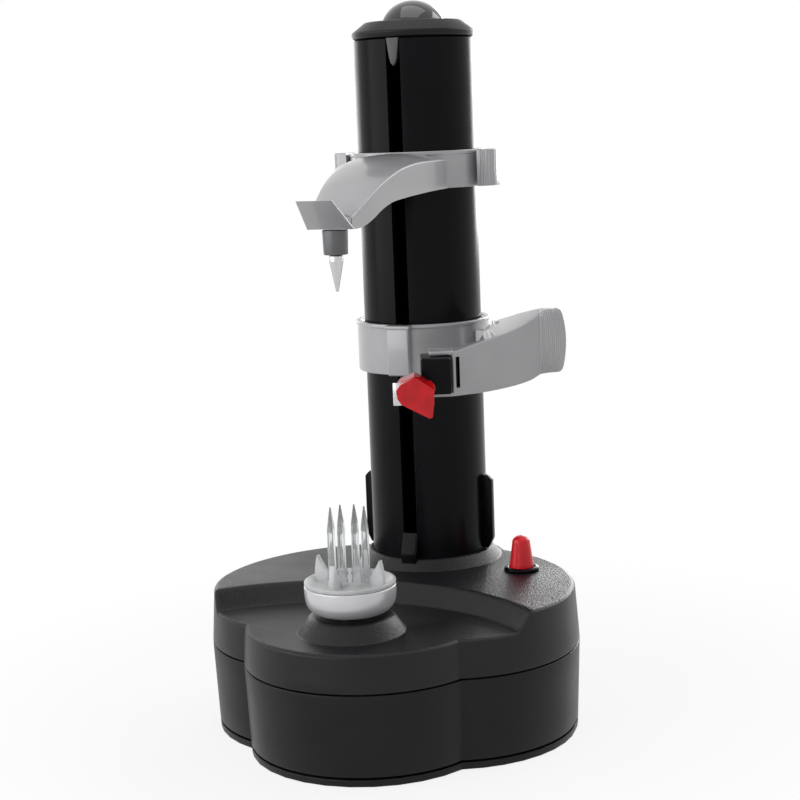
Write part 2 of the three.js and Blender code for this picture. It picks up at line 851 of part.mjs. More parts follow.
// Gear plate, with the posts that hang it from the cover
function gearPlate() {
  const around = (radius, x, y) => rod(
    radius + gearPlateMargin, gearPlateBottom, gearPlateTop, coarseSides, x, y,
  );
  const discs = joined(
    around(gearHubRadius + gearPlateMargin, 0, -spindleOffset),
    around(gearHubRadius + gearPlateMargin, 0, -screwOffset),
    around(motorRadius - gearPlateMargin, pinionX, pinionY),
  );
  const spineHalf = gearHubRadius;
  const spine = box(-spineHalf, spineHalf, -spindleOffset, -screwOffset, gearPlateBottom, gearPlateTop);
  const bridge = raised([
    [0, -spindleOffset], [pinionX, pinionY - spineHalf], [pinionX, pinionY + spineHalf],
    [0, spineHalf - spindleOffset],
  ], gearPlateBottom, gearPlateTop);
  const frontPost = -idlerOffset - postSpread;
  const backPost = -idlerOffset + postSpread;
  const bars = [frontPost, backPost].map((y) => box(
    -postX, postX, y - postRadius, y + postRadius, gearPlateBottom, gearPlateTop,
  ));
  const posts = [];
  for (const side of [-1, 1]) {
    posts.push(rod(postRadius, gearPlateBottom, trayUnderside - gap, smallSides, side * postX, frontPost));
    posts.push(rod(postRadius, gearPlateBottom, deckUnderside - gap, smallSides, side * postX, backPost));
  }
  const hole = (radius, x, y) => rod(
    radius, gearPlateBottom - overrun, gearPlateTop + overrun, coarseSides, x, y,
  );
  return cut(
    joined(discs, spine, bridge, ...bars, ...posts),
    hole(spindleRadius + bushWall + 2 * gap, 0, -spindleOffset),
    hole(journalRadius + bushWall + 2 * gap, 0, -screwOffset),
    hole(idlerAxleRadius + gap, 0, -idlerOffset),
    hole(motorNeckRadius + gap, pinionX, pinionY),
  );
}

add(part, 'gear_plate', gearPlate(), greyPlastic);

// Idler axle, a shouldered pin through the gear plate
const idlerAxle = turned([
  [0, gearPlateBottom - bushFlange], [idlerAxleRadius + bushWall, gearPlateBottom - bushFlange],
  [idlerAxleRadius + bushWall, gearPlateBottom - gap], [idlerAxleRadius, gearPlateBottom - gap],
  [idlerAxleRadius, gearTop + gearHubRise + bushFlange], [0, gearTop + gearHubRise + bushFlange],
], coarseSides);
add(part, 'idler_axle', idlerAxle, steel, 0, -idlerOffset);

// A flanged bush: its flange sits on the face it passes through
function bush(boreRadius, z0, z1, flangeLow) {
  const inner = boreRadius + gap;
  const outer = inner + bushWall;
  const rim = outer + bushWall;
  const profile = flangeLow
    ? [[inner, z0 - bushFlange], [rim, z0 - bushFlange], [rim, z0 - gap], [outer, z0 - gap],
      [outer, z1], [inner, z1], [inner, z0 - bushFlange]]
    : [[inner, z0], [outer, z0], [outer, z1 + gap], [rim, z1 + gap], [rim, z1 + bushFlange],
      [inner, z1 + bushFlange], [inner, z0]];
  return turned(profile, coarseSides);
}

add(part, 'spindle_lower_bush',
  bush(spindleRadius, gearPlateBottom, gearPlateTop, true), brass, 0, -spindleOffset);
add(part, 'spindle_upper_bush',
  bush(spindleRadius, coneTopHeight - coneWall, coneTopHeight, true), brass, 0, -spindleOffset);
add(part, 'screw_lower_bush',
  bush(journalRadius, gearPlateBottom, gearPlateTop, true), brass, 0, -screwOffset);

// Geared motor, a closed can that hangs under the gear plate
const motorTop = gearPlateBottom - gap;
const motor = turned([
  [0, motorBottom], [motorRadius, motorBottom], [motorRadius, motorTop],
  [motorNeckRadius, motorTop], [motorNeckRadius, motorTop + motorNeckRise],
  [0, motorTop + motorNeckRise],
], mediumSides);
const motorBore = rod(
  pinionShaftRadius + gap, motorTop - overrun, motorTop + motorNeckRise + overrun, smallSides,
);
add(part, 'gear_motor', cut(motor, motorBore), steel, pinionX, pinionY);

// Spindle shaft, up into the cup
const spindleTop = cupBottom + shaftRise;
const spindleShaft = rod(spindleRadius, gearPlateBottom - bushFlange, spindleTop, coarseSides);
add(spindleGroup, 'spindle_shaft', spindleShaft, steel);

// Spindle cup: a thick round bowl with a shallow dish, which takes the shaft from below
const cupFloor = cupRim - cupDishDepth;
const cupDishRadius = cupRadius - cupWall;
function spindleCup() {
  const outside = cupOutsideShares.map(([across, up]) => [
    across * cupRadius, cupBottom + up * (cupRim - cupBottom),
  ]);
  const bowl = turned([
    [0, cupBottom], ...outside, [cupDishRadius, cupRim - cupWall / 2],
    [cupDishRadius - gap, cupFloor], [0, cupFloor],
  ], mediumSides);
  return cut(bowl, rod(spindleRadius + gap, cupBottom - overrun, spindleTop + gap, coarseSides));
}

add(spindleGroup, 'spindle_cup', spindleCup(), satinMetal);

// A solid turned about the upright axis
function turnedAbout(solid, angle) {
  const data = solid.getMesh();
  const geometry = new THREE.BufferGeometry();
  geometry.setAttribute('position', new THREE.BufferAttribute(data.vertProperties, 3));
  geometry.setIndex(new THREE.BufferAttribute(data.triVerts, 1));
  geometry.rotateZ(angle);
  return toSolid(geometry);
}

// Prong insert: tall tines in the middle and four pointed fins round them, on one disc
function prongInsert() {
  const floor = cupFloor + gap;
  const discRadius = cupDishRadius - 3 * gap;
  const discTop = floor + prongDiscThickness;
  const hubTop = floor + prongHubRise;
  const solids = [
    rod(discRadius, floor, discTop, mediumSides),
    rod(tineCircle + tineRadius, floor, hubTop, mediumSides),
  ];
  for (let i = 0; i < tineCount; i += 1) {
    const angle = 2 * Math.PI * i / tineCount;
    const x = tineCircle * Math.cos(angle);
    const y = tineCircle * Math.sin(angle);
    solids.push(rod(tineRadius, floor, tineTop - tinePoint, smallSides, x, y));
    solids.push(rod(tineRadius, tineTop - tinePoint, tineTop, smallSides, x, y, tinePointRadius));
  }
  for (let i = 0; i < finCount; i += 1) {
    const fin = across([
      [tineCircle, floor], [discRadius, floor], [discRadius, discTop],
      [finTipRadius + finThickness / 2, finTipHeight - finThickness],
      [finTipRadius, finTipHeight], [tineCircle + tineRadius, hubTop + finThickness],
      [tineCircle, hubTop + finThickness],
    ], -finThickness / 2, finThickness / 2);
    solids.push(turnedAbout(fin, finTurn + 2 * Math.PI * i / finCount));
  }
  return joined(...solids);
}

add(spindleGroup, 'prong_insert', prongInsert(), clearPlastic);

// Column: slotted tube with its flange, side ribs and the foot of its slot
function columnTube() {
  const flangeTop = deckUnderside - gap;
  const flangeBottom = flangeTop - columnFlangeThickness;
  const body = turned([
    [columnBore, flangeBottom], [columnFlangeRadius, flangeBottom], [columnFlangeRadius, flangeTop],
    [columnRadius, flangeTop], [columnRadius, columnTop], [columnBore, columnTop],
    [columnBore, flangeBottom],
  ]);
  const slot = box(
    -slotWidth / 2, slotWidth / 2, -columnRadius - overrun, -columnBore + overrun,
    slotBottom, columnTop + overrun,
  );
  const ribFoot = ringTopHeight + gap;
  const ribSide = columnBore + columnWall / 2;
  const ribReach = columnRadius + ribDepth;
  const ribs = [-1, 1].map((side) => across([
    [side * ribSide, ribFoot], [side * (ribReach - ribPoint / 2), ribFoot],
    [side * ribReach, ribFoot + ribPoint], [side * ribReach, ribTop - ribPoint / 2],
    [side * (ribReach - ribPoint / 2), ribTop], [side * ribSide, ribTop],
  ], -ribThickness / 2, ribThickness / 2));
  const footLow = deckHeight + 2 * gap;
  const footHalf = slotFootWidth / 2;
  const footReach = columnRadius + slotFootDepth;
  const footFront = across([
    ...arc(0, footLow + footHalf, footHalf, Math.PI, 2 * Math.PI, smallSides),
    [footHalf, footLow + footHalf], [footHalf, slotBottom], [-footHalf, slotBottom],
  ], -footReach, -ribSide);
  const footSide = turnedAbout(across([
    [-footReach, footLow], [-ribSide, footLow], [-ribSide, slotBottom],
    [-columnRadius, slotBottom], [-footReach, slotFootBend],
  ], -slotFootWidth, slotFootWidth), Math.PI / 2);
  const foot = footFront.intersect(footSide);
  const holes = [-1, 1].map((side) => lyingRod(
    ribHoleRadius, -overrun, overrun, side * (columnRadius + ribDepth / 2), ribHoleHeight, smallSides,
  ));
  return cut(joined(body, ...ribs, foot), slot, ...holes);
}

add(part, 'column', columnTube(), blackShell);

// Column cap, with the plug that fits the tube and the seat of the top bush
function columnCap() {
  const foot = columnTop + gap;
  const plugRadius = columnBore - gap;
  const body = turned([
    [0, foot - capPlugDepth], [plugRadius - capBand, foot - capPlugDepth],
    [plugRadius, foot - capPlugDepth + capBand], [plugRadius, foot], [capRadius, foot],
    [capRadius, foot + capBand], [capTopRadius, foot + capTopRise], [0, foot + capTopRise],
  ], mediumSides);
  const seat = rod(
    journalRadius + bushWall + 2 * gap, foot - capPlugDepth - overrun, foot, coarseSides,
    0, -screwOffset,
  );
  const tongueNotch = box(
    -slotWidth / 2, slotWidth / 2, -columnBore - overrun, -columnBore + columnWall,
    foot - capPlugDepth - overrun, foot,
  );
  return cut(body, seat, tongueNotch);
}

add(part, 'column_cap', columnCap(), blackShell);

const capBottom = columnTop + gap;
add(part, 'screw_top_bush', tube(
  journalRadius + gap, journalRadius + gap + bushWall, capBottom - capPlugDepth, capBottom - gap,
  coarseSides,
), brass, 0, -screwOffset);

// Dome on the cap, part of a sphere
function capDome() {
  const foot = capBottom + capTopRise + gap;
  const sphere = (domeFootRadius * domeFootRadius + domeRise * domeRise) / (2 * domeRise);
  const half = Math.asin(domeFootRadius / sphere);
  const rings = domeRings;
  const profile = [[0, foot]];
  for (let i = 0; i < rings; i += 1) {
    const angle = half * (1 - i / rings);
    profile.push([sphere * Math.sin(angle), foot + domeRise - sphere * (1 - Math.cos(angle))]);
  }
  profile.push([0, foot + domeRise]);
  return turned(profile, mediumSides);
}

add(part, 'cap_dome', capDome(), blackGloss);

// Tongue that closes the top of the slot, with a pointed lower end
function slotTongue() {
  const half = slotWidth / 2 - gap;
  const top = columnTop;
  const left = tongueShares.map(([down, across]) => [-half * across, top - down * tongueLength]);
  const right = tongueShares.slice(0, -1).reverse().map(([down, across]) => [
    half * across, top - down * tongueLength,
  ]);
  return across([...left, ...right], -columnRadius, -columnBore + gap);
}

add(part, 'slot_tongue', slotTongue(), greyPlastic);

// Lead screw: a helical thread on a core, wound by a formula
function threadSolid(rootRadius, crestRadius, crestShare, flankShare, z0, z1) {
  const steps = threadStepsPerTurn;
  const turns = Math.round((z1 - z0) / threadPitch);
  const sections = turns * steps;
  const profile = [
    [rootRadius, 0],
    [rootRadius, 1 - crestShare - 2 * flankShare],
    [crestRadius, 1 - crestShare - flankShare],
    [crestRadius, 1 - flankShare],
  ];
  const place = [];
  const rows = profile.length;
  for (let i = 0; i <= sections + steps; i += 1) {
    const angle = 2 * Math.PI * i / steps;
    for (const [radius, share] of profile) {
      const z = z0 + threadPitch * (i / steps + share);
      place.push(radius * Math.cos(angle), radius * Math.sin(angle), z);
    }
  }
  const at = (i, j) => (j < rows ? i * rows + j : (i + steps) * rows + j - rows);
  const index = [];
  for (let i = 0; i < sections; i += 1) {
    for (let j = 0; j < rows; j += 1) {
      index.push(at(i, j), at(i + 1, j), at(i + 1, j + 1));
      index.push(at(i, j), at(i + 1, j + 1), at(i, j + 1));
    }
  }
  const low = place.length / 3;
  place.push(0, 0, z0 + threadPitch / 2);
  const high = low + 1;
  place.push(0, 0, z0 + threadPitch * (turns + 1 / 2));
  const closeEnd = (start, apex, reversed) => {
    const rim = [];
    for (let i = 0; i < steps; i += 1) rim.push(at(start + i, 0));
    for (let j = rows; j > 0; j -= 1) rim.push(at(start, j));
    for (let k = 0; k < rim.length; k += 1) {
      const a = rim[k];
      const b = rim[(k + 1) % rim.length];
      if (reversed) index.push(apex, a, b);
      else index.push(apex, b, a);
    }
  };
  closeEnd(0, low, false);
  closeEnd(sections, high, true);
  const geometry = new THREE.BufferGeometry();
  geometry.setAttribute('position', new THREE.Float32BufferAttribute(place, 3));
  geometry.setIndex(index);
  return geometry;
}

function leadScrew() {
  const thread = toSolid(threadSolid(
    threadRootRadius, threadRadius, threadCrestShare, threadFlankShare, threadBottom, threadTop,
  ));
  const bottom = gearPlateBottom - bushFlange;
  const top = capBottom - 3 * gap;
  const core = rod(journalRadius, bottom, top, smallSides);
  return joined(thread, core);
}

add(screwGroup, 'lead_screw', leadScrew(), steel);

// Carriage: collar on the column, nut housing over the slot and the hinge lug
const hingeRadius = Math.hypot(hingeX, hingeY);
const hingeAngle = Math.atan2(hingeY, hingeX) + armYaw;
const pinX = hingeRadius * Math.cos(hingeAngle);
const pinY = hingeRadius * Math.sin(hingeAngle);

function carriage() {
  const collar = tube(collarBore, collarRadius, 0, carriageHeight);
  const housing = box(
    -nutHousingWidth / 2, nutHousingWidth / 2, -collarRadius - nutHousingDepth, -collarBore - gap,
    0, carriageHeight,
  );
  const pocket = box(
    -nutTongueWidth / 2 - gap, nutTongueWidth / 2 + gap, -collarRadius - gap, -collarBore + overrun,
    (carriageHeight - nutTongueHeight) / 2 - gap, (carriageHeight + nutTongueHeight) / 2 + gap,
  );
  const lugTop = lugBottom + lugHeight;
  const barrel = rod(eyeRadius - gap, lugBottom, lugTop, coarseSides, pinX, pinY);
  const web = raised([
    [collarBore + gap, pinY - lugWidth / 2], [pinX, pinY - lugWidth / 2],
    [pinX, pinY + lugWidth / 2], [collarBore + gap, pinY + lugWidth / 2],
  ], lugBottom, lugTop);
  const columnSpace = rod(collarBore, -overrun, carriageHeight + overrun, fineSides);
  const pinHole = rod(hingePinRadius + gap, lugBottom - overrun, lugTop + overrun, coarseSides, pinX, pinY);
  return cut(joined(collar, housing, barrel, web), columnSpace, pocket, pinHole);
}

add(carriageGroup, 'carriage', carriage(), silverPaint);

// Half nut: it reaches through the slot and grips the thread from the front
function halfNut() {
  const low = (carriageHeight - nutHeight) / 2;
  const front = -screwOffset - nutFrontDepth;
  const body = box(-nutWidth / 2, nutWidth / 2, front, -screwOffset - nutBackPlay, low, low + nutHeight);
  const tongueLow = (carriageHeight - nutTongueHeight) / 2;
  const tongue = box(
    -nutTongueWidth / 2, nutTongueWidth / 2, -collarBore + 2 * gap, front + gap,
    tongueLow, tongueLow + nutTongueHeight,
  );
  const widen = 2 * threadPlay / threadPitch;
  const geometry = threadSolid(
    threadRootRadius + threadPlay, threadRadius + threadPlay,
    threadCrestShare + widen, threadFlankShare, threadBottom, threadTop,
  );
  geometry.translate(0, -screwOffset, threadPlay - carriageRest);
  const bore = toSolid(geometry);
  return cut(joined(body, tongue), bore);
}

add(carriageGroup, 'half_nut', halfNut(), whiteNylon);

// Hinge pin of the lever, with a head at each end
const leverTopAtHinge = leverHeightAt(hingeX, true);
const leverBottomAtHinge = leverHeightAt(hingeX, false);
const hingePin = rod(
  hingePinRadius, leverBottomAtHinge + gap, leverTopAtHinge - gap, coarseSides, pinX, pinY,
);
add(carriageGroup, 'hinge_pin', hingePin, steel);

// The lever's upper and lower edge, as a share of the way along it
function leverEdges() {
  return {
    upper: [
      [leverTipX, leverTipTop], [leverWallX, leverWallTop], [leverMidX, leverMidTop],
      [leverBendX, leverBendTop], [leverEndX - leverEndRound, leverEndTop],
    ],
    lower: [
      [leverTipX, leverTipBottom], [leverMidX, leverMidBottom],
      [leverBendX, leverBendBottom], [leverEndX - leverEndRound, leverEndBottom],
    ],
  };
}

function leverHeightAt(x, upper) {
  const edge = upper ? leverEdges().upper : leverEdges().lower;
  const next = edge.findIndex(([px]) => px >= x);
  const [x0, z0] = edge[next - 1];
  const [x1, z1] = edge[next];
  return z0 + (z1 - z0) * (x - x0) / (x1 - x0);
}

// Peeling lever: a channel with a fork for the blade block, hinge eyes and a ribbed grip
function peelLever() {
  const { upper, lower } = leverEdges();
  const endBackY = leverBendY + leverEndDepth;
  const grip = [];
  const gripLength = leverEndX - leverBendX - 2 * leverWall;
  for (let i = 0; i <= 2 * gripRibs; i += 1) {
    const x = leverBendX + leverWall + gripLength * i / (2 * gripRibs);
    grip.push([x, leverBendY - (i % 2 === 0 ? 0 : gripRibDepth)]);
  }
  const tip = leverEndX + leverEndBulge;
  const forkBackY = leverFaceY + leverForkDepth;
  const plan = [
    [leverTipX, leverFaceY], [leverWallX, leverFaceY], [leverBendX, leverBendY], ...grip,
    [tip, leverBendY + leverWall], [tip, endBackY - leverWall],
    [leverEndX - leverWall, endBackY], [leverBendX, endBackY + leverWall],
    [hingeX + eyeRadius + leverWall, (endBackY + hingeY) / 2],
    ...arc(hingeX, hingeY, eyeRadius, 0, Math.PI, smallSides),
    [hingeX - eyeRadius, hingeY], [leverWallX + leverWall * 2, forkBackY + leverWall],
    [leverWallX, forkBackY], [leverTipX, forkBackY],
  ];
  const bulge = [
    [leverEndX, leverEndBottom + leverEndRound],
    [leverEndX + leverEndBulge, (leverEndBottom + leverEndTop) / 2],
    [leverEndX, leverEndTop - leverEndRound],
  ];
  const outerSide = [...lower, ...bulge, ...upper.slice().reverse()];
  const tall = leverEndTop + overrun;
  const shell = raised(plan, leverTipBottom - overrun, tall).intersect(
    across(outerSide, leverFaceY - overrun, hingeY + 2 * eyeRadius),
  );
  const innerSide = [
    [leverTipX - overrun, leverTipBottom + leverWall],
    ...lower.slice(0, -1).map(([x, z]) => [x, z + leverWall]),
    ...upper.slice(0, -1).reverse().map(([x, z]) => [x, z - leverWall]),
    [leverTipX - overrun, leverTipTop - leverWall],
  ];
  const hollowPlan = [
    [leverTipX - overrun, leverFaceY - overrun], [leverWallX, leverFaceY - overrun],
    [leverWallX, leverFaceY + leverWall],
    [leverBendX - leverWall, leverBendY + leverWall / 2],
    [leverBendX - leverWall, hingeY + 2 * eyeRadius], [leverTipX - overrun, hingeY + 2 * eyeRadius],
  ];
  const hollow = raised(hollowPlan, leverTipBottom - overrun, tall).intersect(
    across(innerSide, leverFaceY - 2 * overrun, hingeY + 3 * eyeRadius),
  );
  const eyeHole = rod(hingePinRadius + gap, leverTipBottom - overrun, tall, coarseSides, hingeX, hingeY);
  const slotFoot = leverTipBottom + leverSlotBottomRise;
  const slot = box(
    leverWallX + leverSlotWidth, leverWallX + 2 * leverSlotWidth, leverFaceY - overrun,
    leverFaceY + leverWall * 3, slotFoot, slotFoot + leverSlotHeight,
  );
  return cut(shell, hollow, eyeHole, slot);
}

add(leverGroup, 'peel_lever', peelLever(), silverPaint);

// Blade block, held in the lever's fork, with a head in front of it
const blockFrontY = holderBackY + blockHeadClearance;
const blockBackY = leverFaceY + leverForkDepth;
function bladeBlock() {
  const low = leverTipBottom + leverWall + 2 * gap;
  const high = leverWallTop - leverWall - gap;
  const right = leverWallX - gap;
  const bevelled = (bottom, top, y0, y1) => across([
    [blockLeft + blockBevel, bottom], [right, bottom], [right, top], [blockLeft + blockBevel, top],
    [blockLeft, top - blockBevel], [blockLeft, bottom + blockBevel],
  ], y0, y1);
  const head = bevelled(blockHeadLow, blockHeadHigh, blockFrontY, leverFaceY - gap);
  const body = joined(head, bevelled(low, high, leverFaceY - 2 * gap, blockBackY));
  const tail = box(
    right - blockBevel, blockTailX, blockBackY - blockTailDepth, blockBackY,
    low + blockBevel, high - blockBevel,
  );
  const pinHole = lyingRod(
    swivelPinRadius + gap, blockFrontY - overrun, blockBackY + overrun, swivelX, swivelZ, smallSides,
  );
  return cut(joined(body, tail), pinHole);
}

add(leverGroup, 'blade_block', bladeBlock(), blackShell);

// Swivel pin of the blade holder
const swivelPinFront = holderBackY - swivelPinReach;
const swivelHeadY = blockBackY + gap;
const swivelPin = joined(
  lyingRod(swivelPinRadius, swivelPinFront, swivelHeadY + gap, swivelX, swivelZ, smallSides),
  lyingRod(
    2 * swivelPinRadius, swivelHeadY, swivelHeadY + swivelPinRadius, swivelX, swivelZ, smallSides,
  ),
);
add(leverGroup, 'swivel_pin', swivelPin, steel);

// Blade holder: a chunky wedge that rocks on the swivel pin
const bladeStart = holderFrontY + bladeSetback;
const bladeLow = bladeRise - bladeHeight / 2;
function bladeHolder() {
  const outline = holderOutlineShares.map(([along, up]) => [
    holderLeft + along * holderWidth, holderLow + up * holderHeight,
  ]);
  outline.reverse();
  const body = across(outline, holderFrontY, holderBackY);
  const boss = lyingRod(
    swivelBossRadius, holderBackY - gap, blockFrontY - gap, swivelX, swivelZ, coarseSides,
  );
  const pinHole = lyingRod(
    swivelPinRadius + gap, swivelPinFront - gap, blockFrontY + overrun, swivelX, swivelZ, smallSides,
  );
  const bladeSeat = box(
    holderLeft - overrun, holderLeft + bladeDepth + gap,
    bladeStart - gap, bladeStart + bladeThickness + gap, bladeLow - gap, bladeLow + bladeHeight + gap,
  );
  return cut(joined(body, boss), pinHole, bladeSeat);
}

add(leverGroup, 'blade_holder', bladeHolder(), redPlastic);

// Steel blade, seated in the tip of its holder, with a slanted cutting edge
add(leverGroup, 'peel_blade', raised([
  [holderLeft - bladeProud, bladeStart + bladeThickness], [holderLeft, bladeStart],
  [holderLeft + bladeDepth, bladeStart], [holderLeft + bladeDepth, bladeStart + bladeThickness],
], bladeLow, bladeLow + bladeHeight), steel);

// Upper arm: collar, arched hood, flared lip and the boss that takes the socket
function hoodLayer(i, inset, floor) {
  const share = hoodStationShares[i];
  const level = hoodStart + share * (hoodEndReach - hoodStart);
  const half = hoodRootHalfWidth + share * (hoodEndHalfWidth - hoodRootHalfWidth) - inset;
  const top = hoodRootTop + crestFallShares[i] * (hoodEndTop - hoodRootTop) - inset;
  const under = hoodRootBottom + undersideFallShares[i] * (hoodEndBottom - hoodRootBottom);
  const low = floor === null ? under : floor;
  const crown = hoodCrown * half / hoodRootHalfWidth;
  const right = hoodTopShares.map(([along, up]) => [half * along, top + crown * up]);
  const left = right.slice().reverse().map(([x, z]) => [-x, z]);
  return { level, points: [[-half, low], [half, low], ...right, ...left] };
}

function hoodSolid(inset, floor, first, last) {
  const layers = [];
  for (let i = first; i <= last; i += 1) layers.push(hoodLayer(i, inset, floor));
  const geometry = loft(layers);
  geometry.rotateX(Math.PI / 2);
  return toSolid(geometry);
}

const tabMiddleY = (tabFrontY + tabBackY) / 2;
function upperArm() {
  const last = hoodStationShares.length - 1;
  const hood = hoodSolid(0, null, 0, last);
  const hollow = cut(
    hoodSolid(hoodWall, hoodEndBottom - overrun, 1, last),
    box(-capRadius, capRadius, -hoodHollowStart, capRadius, hoodEndBottom - 2 * overrun, upperCollarHeight),
    box(
      -capRadius, capRadius, -hoodEndReach - overrun, -hoodEndReach + hoodWall,
      hoodEndBottom - 2 * overrun, upperCollarHeight,
    ),
  );
  const boss = rod(
    beakBossRadius, hoodEndBottom, upperCollarHeight, mediumSides, 0, -spindleOffset,
  ).intersect(hood);
  const collar = tube(collarBore, collarRadius, 0, upperCollarHeight);
  const halfLip = hoodEndHalfWidth;
  const lipBase = hoodEndReach - hoodWall;
  const lip = toSolid(loft([
    {
      level: hoodEndBottom,
      points: [
        [-halfLip, -lipBase - lipThickness], [halfLip, -lipBase - lipThickness],
        [halfLip, -lipBase], [-halfLip, -lipBase],
      ],
    },
    {
      level: lipTop,
      points: [
        [-lipTopHalfWidth, -lipReach], [lipTopHalfWidth, -lipReach],
        [lipTopHalfWidth, -lipReach + lipThickness], [-lipTopHalfWidth, -lipReach + lipThickness],
      ],
    },
  ]));
  const columnSpace = rod(collarBore, hoodEndBottom - overrun, upperCollarHeight + overrun, fineSides);
  const socketHole = rod(
    socketStubRadius + gap, hoodEndBottom - overrun, hoodEndBottom + socketStubLength + gap,
    coarseSides, 0, -spindleOffset,
  );
  const stemReach = collarRadius + overrun;
  const stemHole = box(
    -stemReach, stemReach, tabMiddleY - tabStemWidth / 2 - gap, tabMiddleY + tabStemWidth / 2 + gap,
    (upperCollarHeight - tabStemHeight) / 2 - gap, (upperCollarHeight + tabStemHeight) / 2 + gap,
  );
  return cut(
    joined(cut(hood, hollow), boss, collar, lip), columnSpace, socketHole, stemHole,
  );
}

add(upperArmGroup, 'upper_arm', upperArm(), silverPaint);

// Release tabs: sprung ribbed buttons on both sides of the upper collar. Their inner faces
// follow the collar, and leave the tab its travel.
for (const [name, side] of [['release_tab_right', 1], ['release_tab_left', -1]]) {
  const innerRadius = collarRadius + gap;
  const innerX = (y) => tabTravel + Math.sqrt(innerRadius * innerRadius - y * y);
  const front = innerX(tabFrontY);
  const ribs = [];
  for (let i = 0; i < tabRibs; i += 1) {
    const x = front + tabCorner + 2 * tabRibWidth * i;
    ribs.push([x, tabFrontY], [x, tabFrontY - tabRibDepth]);
    ribs.push([x + tabRibWidth, tabFrontY - tabRibDepth], [x + tabRibWidth, tabFrontY]);
  }
  const plan = [
    [front, tabFrontY], ...ribs, [tabReach - tabCorner, tabFrontY],
    [tabReach, tabFrontY + tabCorner], [tabReach, tabBackY - tabCorner],
    [tabReach - tabCorner, tabBackY], [innerX(tabBackY), tabBackY], [innerX(tabMiddleY), tabMiddleY],
  ];
  const block = raised(plan.map(([x, y]) => [side * x, y]), 0, upperCollarHeight);
  const stemIn = side * (innerX(tabMiddleY) - tabStemLength);
  const stemOut = side * (innerX(tabMiddleY) + overrun);
  const stem = box(
    Math.min(stemIn, stemOut), Math.max(stemIn, stemOut),
    tabMiddleY - tabStemWidth / 2, tabMiddleY + tabStemWidth / 2,
    (upperCollarHeight - tabStemHeight) / 2, (upperCollarHeight + tabStemHeight) / 2,
  );
  add(upperArmGroup, name, joined(block, stem), silverPaint);
}

// Socket under the beak, and the pin that turns in it
const socketTop = hoodEndBottom - gap;
const socketBottom = socketTop - socketLength;
const socketBody = turned([
  [0, socketBottom], [socketFootRadius, socketBottom], [socketTopRadius, socketTop],
  [socketStubRadius, socketTop], [socketStubRadius, socketTop + socketStubLength],
  [0, socketTop + socketStubLength],
], mediumSides);
const socketBore = rod(
  pinShaftRadius + gap, socketBottom - overrun, socketBottom + pinShaftLength + gap, coarseSides,
);
add(upperArmGroup, 'upper_socket', cut(socketBody, socketBore), greyPlastic, 0, -spindleOffset);

const pinTop = socketBottom - gap;
const holderPin = turned([
  [0, pinTop - pinStub - pinSpikeLength], [pinSpikeTipRadius, pinTop - pinStub - pinSpikeLength],
  [pinRadius, pinTop - pinStub], [pinRadius, pinTop], [pinShaftRadius, pinTop],
  [pinShaftRadius, pinTop + pinShaftLength], [0, pinTop + pinShaftLength],
], coarseSides);
add(upperArmGroup, 'holder_pin', holderPin, steel, 0, -spindleOffset);

// Power button, its bezel and the switch under it
const bezelTop = deckHeight + gap + bezelThickness;
const bezelBore = buttonFootRadius + gap;
const bezelSleeve = bezelRadius - bezelSleeveWall;
const sleeveBottom = deckUnderside - bezelSleeveDepth;
const bezel = turned([
  [bezelBore, sleeveBottom], [bezelSleeve, sleeveBottom], [bezelSleeve, deckHeight + gap],
  [bezelRadius, deckHeight + gap], [bezelRadius, bezelTop - bezelThickness / 2],
  [bezelRadius - bezelThickness / 2, bezelTop], [bezelBore, bezelTop], [bezelBore, sleeveBottom],
], coarseSides);
add(part, 'button_bezel', bezel, blackGloss, buttonX, buttonY);

const switchTop = sleeveBottom - gap;
const switchHalf = switchWidth / 2;
const switchCase = cut(
  box(-switchHalf, switchHalf, -switchHalf, switchHalf, switchTop - switchHeight, switchTop),
  rod(buttonStemRadius + gap, switchTop - switchHeight / 2, switchTop + overrun, smallSides),
);
add(part, 'switch_body', switchCase, greyPlastic, buttonX, buttonY);

function powerButton() {
  const foot = bezelTop - bezelThickness;
  const domeRise = buttonTopHeight - buttonNeckHeight;
  const stemFoot = switchTop - switchHeight / 2 + buttonTravel + gap;
  const profile = [
    [0, stemFoot], [buttonStemRadius, stemFoot], [buttonStemRadius, foot], [buttonFootRadius, foot],
    [buttonFootRadius, bezelTop + gap],
  ];
  for (const turn of [0, Math.PI / 8, Math.PI / 4, 3 * Math.PI / 8]) {
    profile.push([buttonNeckRadius * Math.cos(turn), buttonNeckHeight + domeRise * Math.sin(turn)]);
  }
  profile.push([0, buttonTopHeight]);
  return turned(profile, coarseSides);
}

add(part, 'power_button', powerButton(), redPlastic, buttonX, buttonY);

export default part;
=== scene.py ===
"""Looks for the electric potato peeler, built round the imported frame.

Lengths in this script are millimetres until a mesh is made, where MM turns them into metres.
"""

import json
import math

import bmesh
import bpy
from mathutils import Matrix, Vector


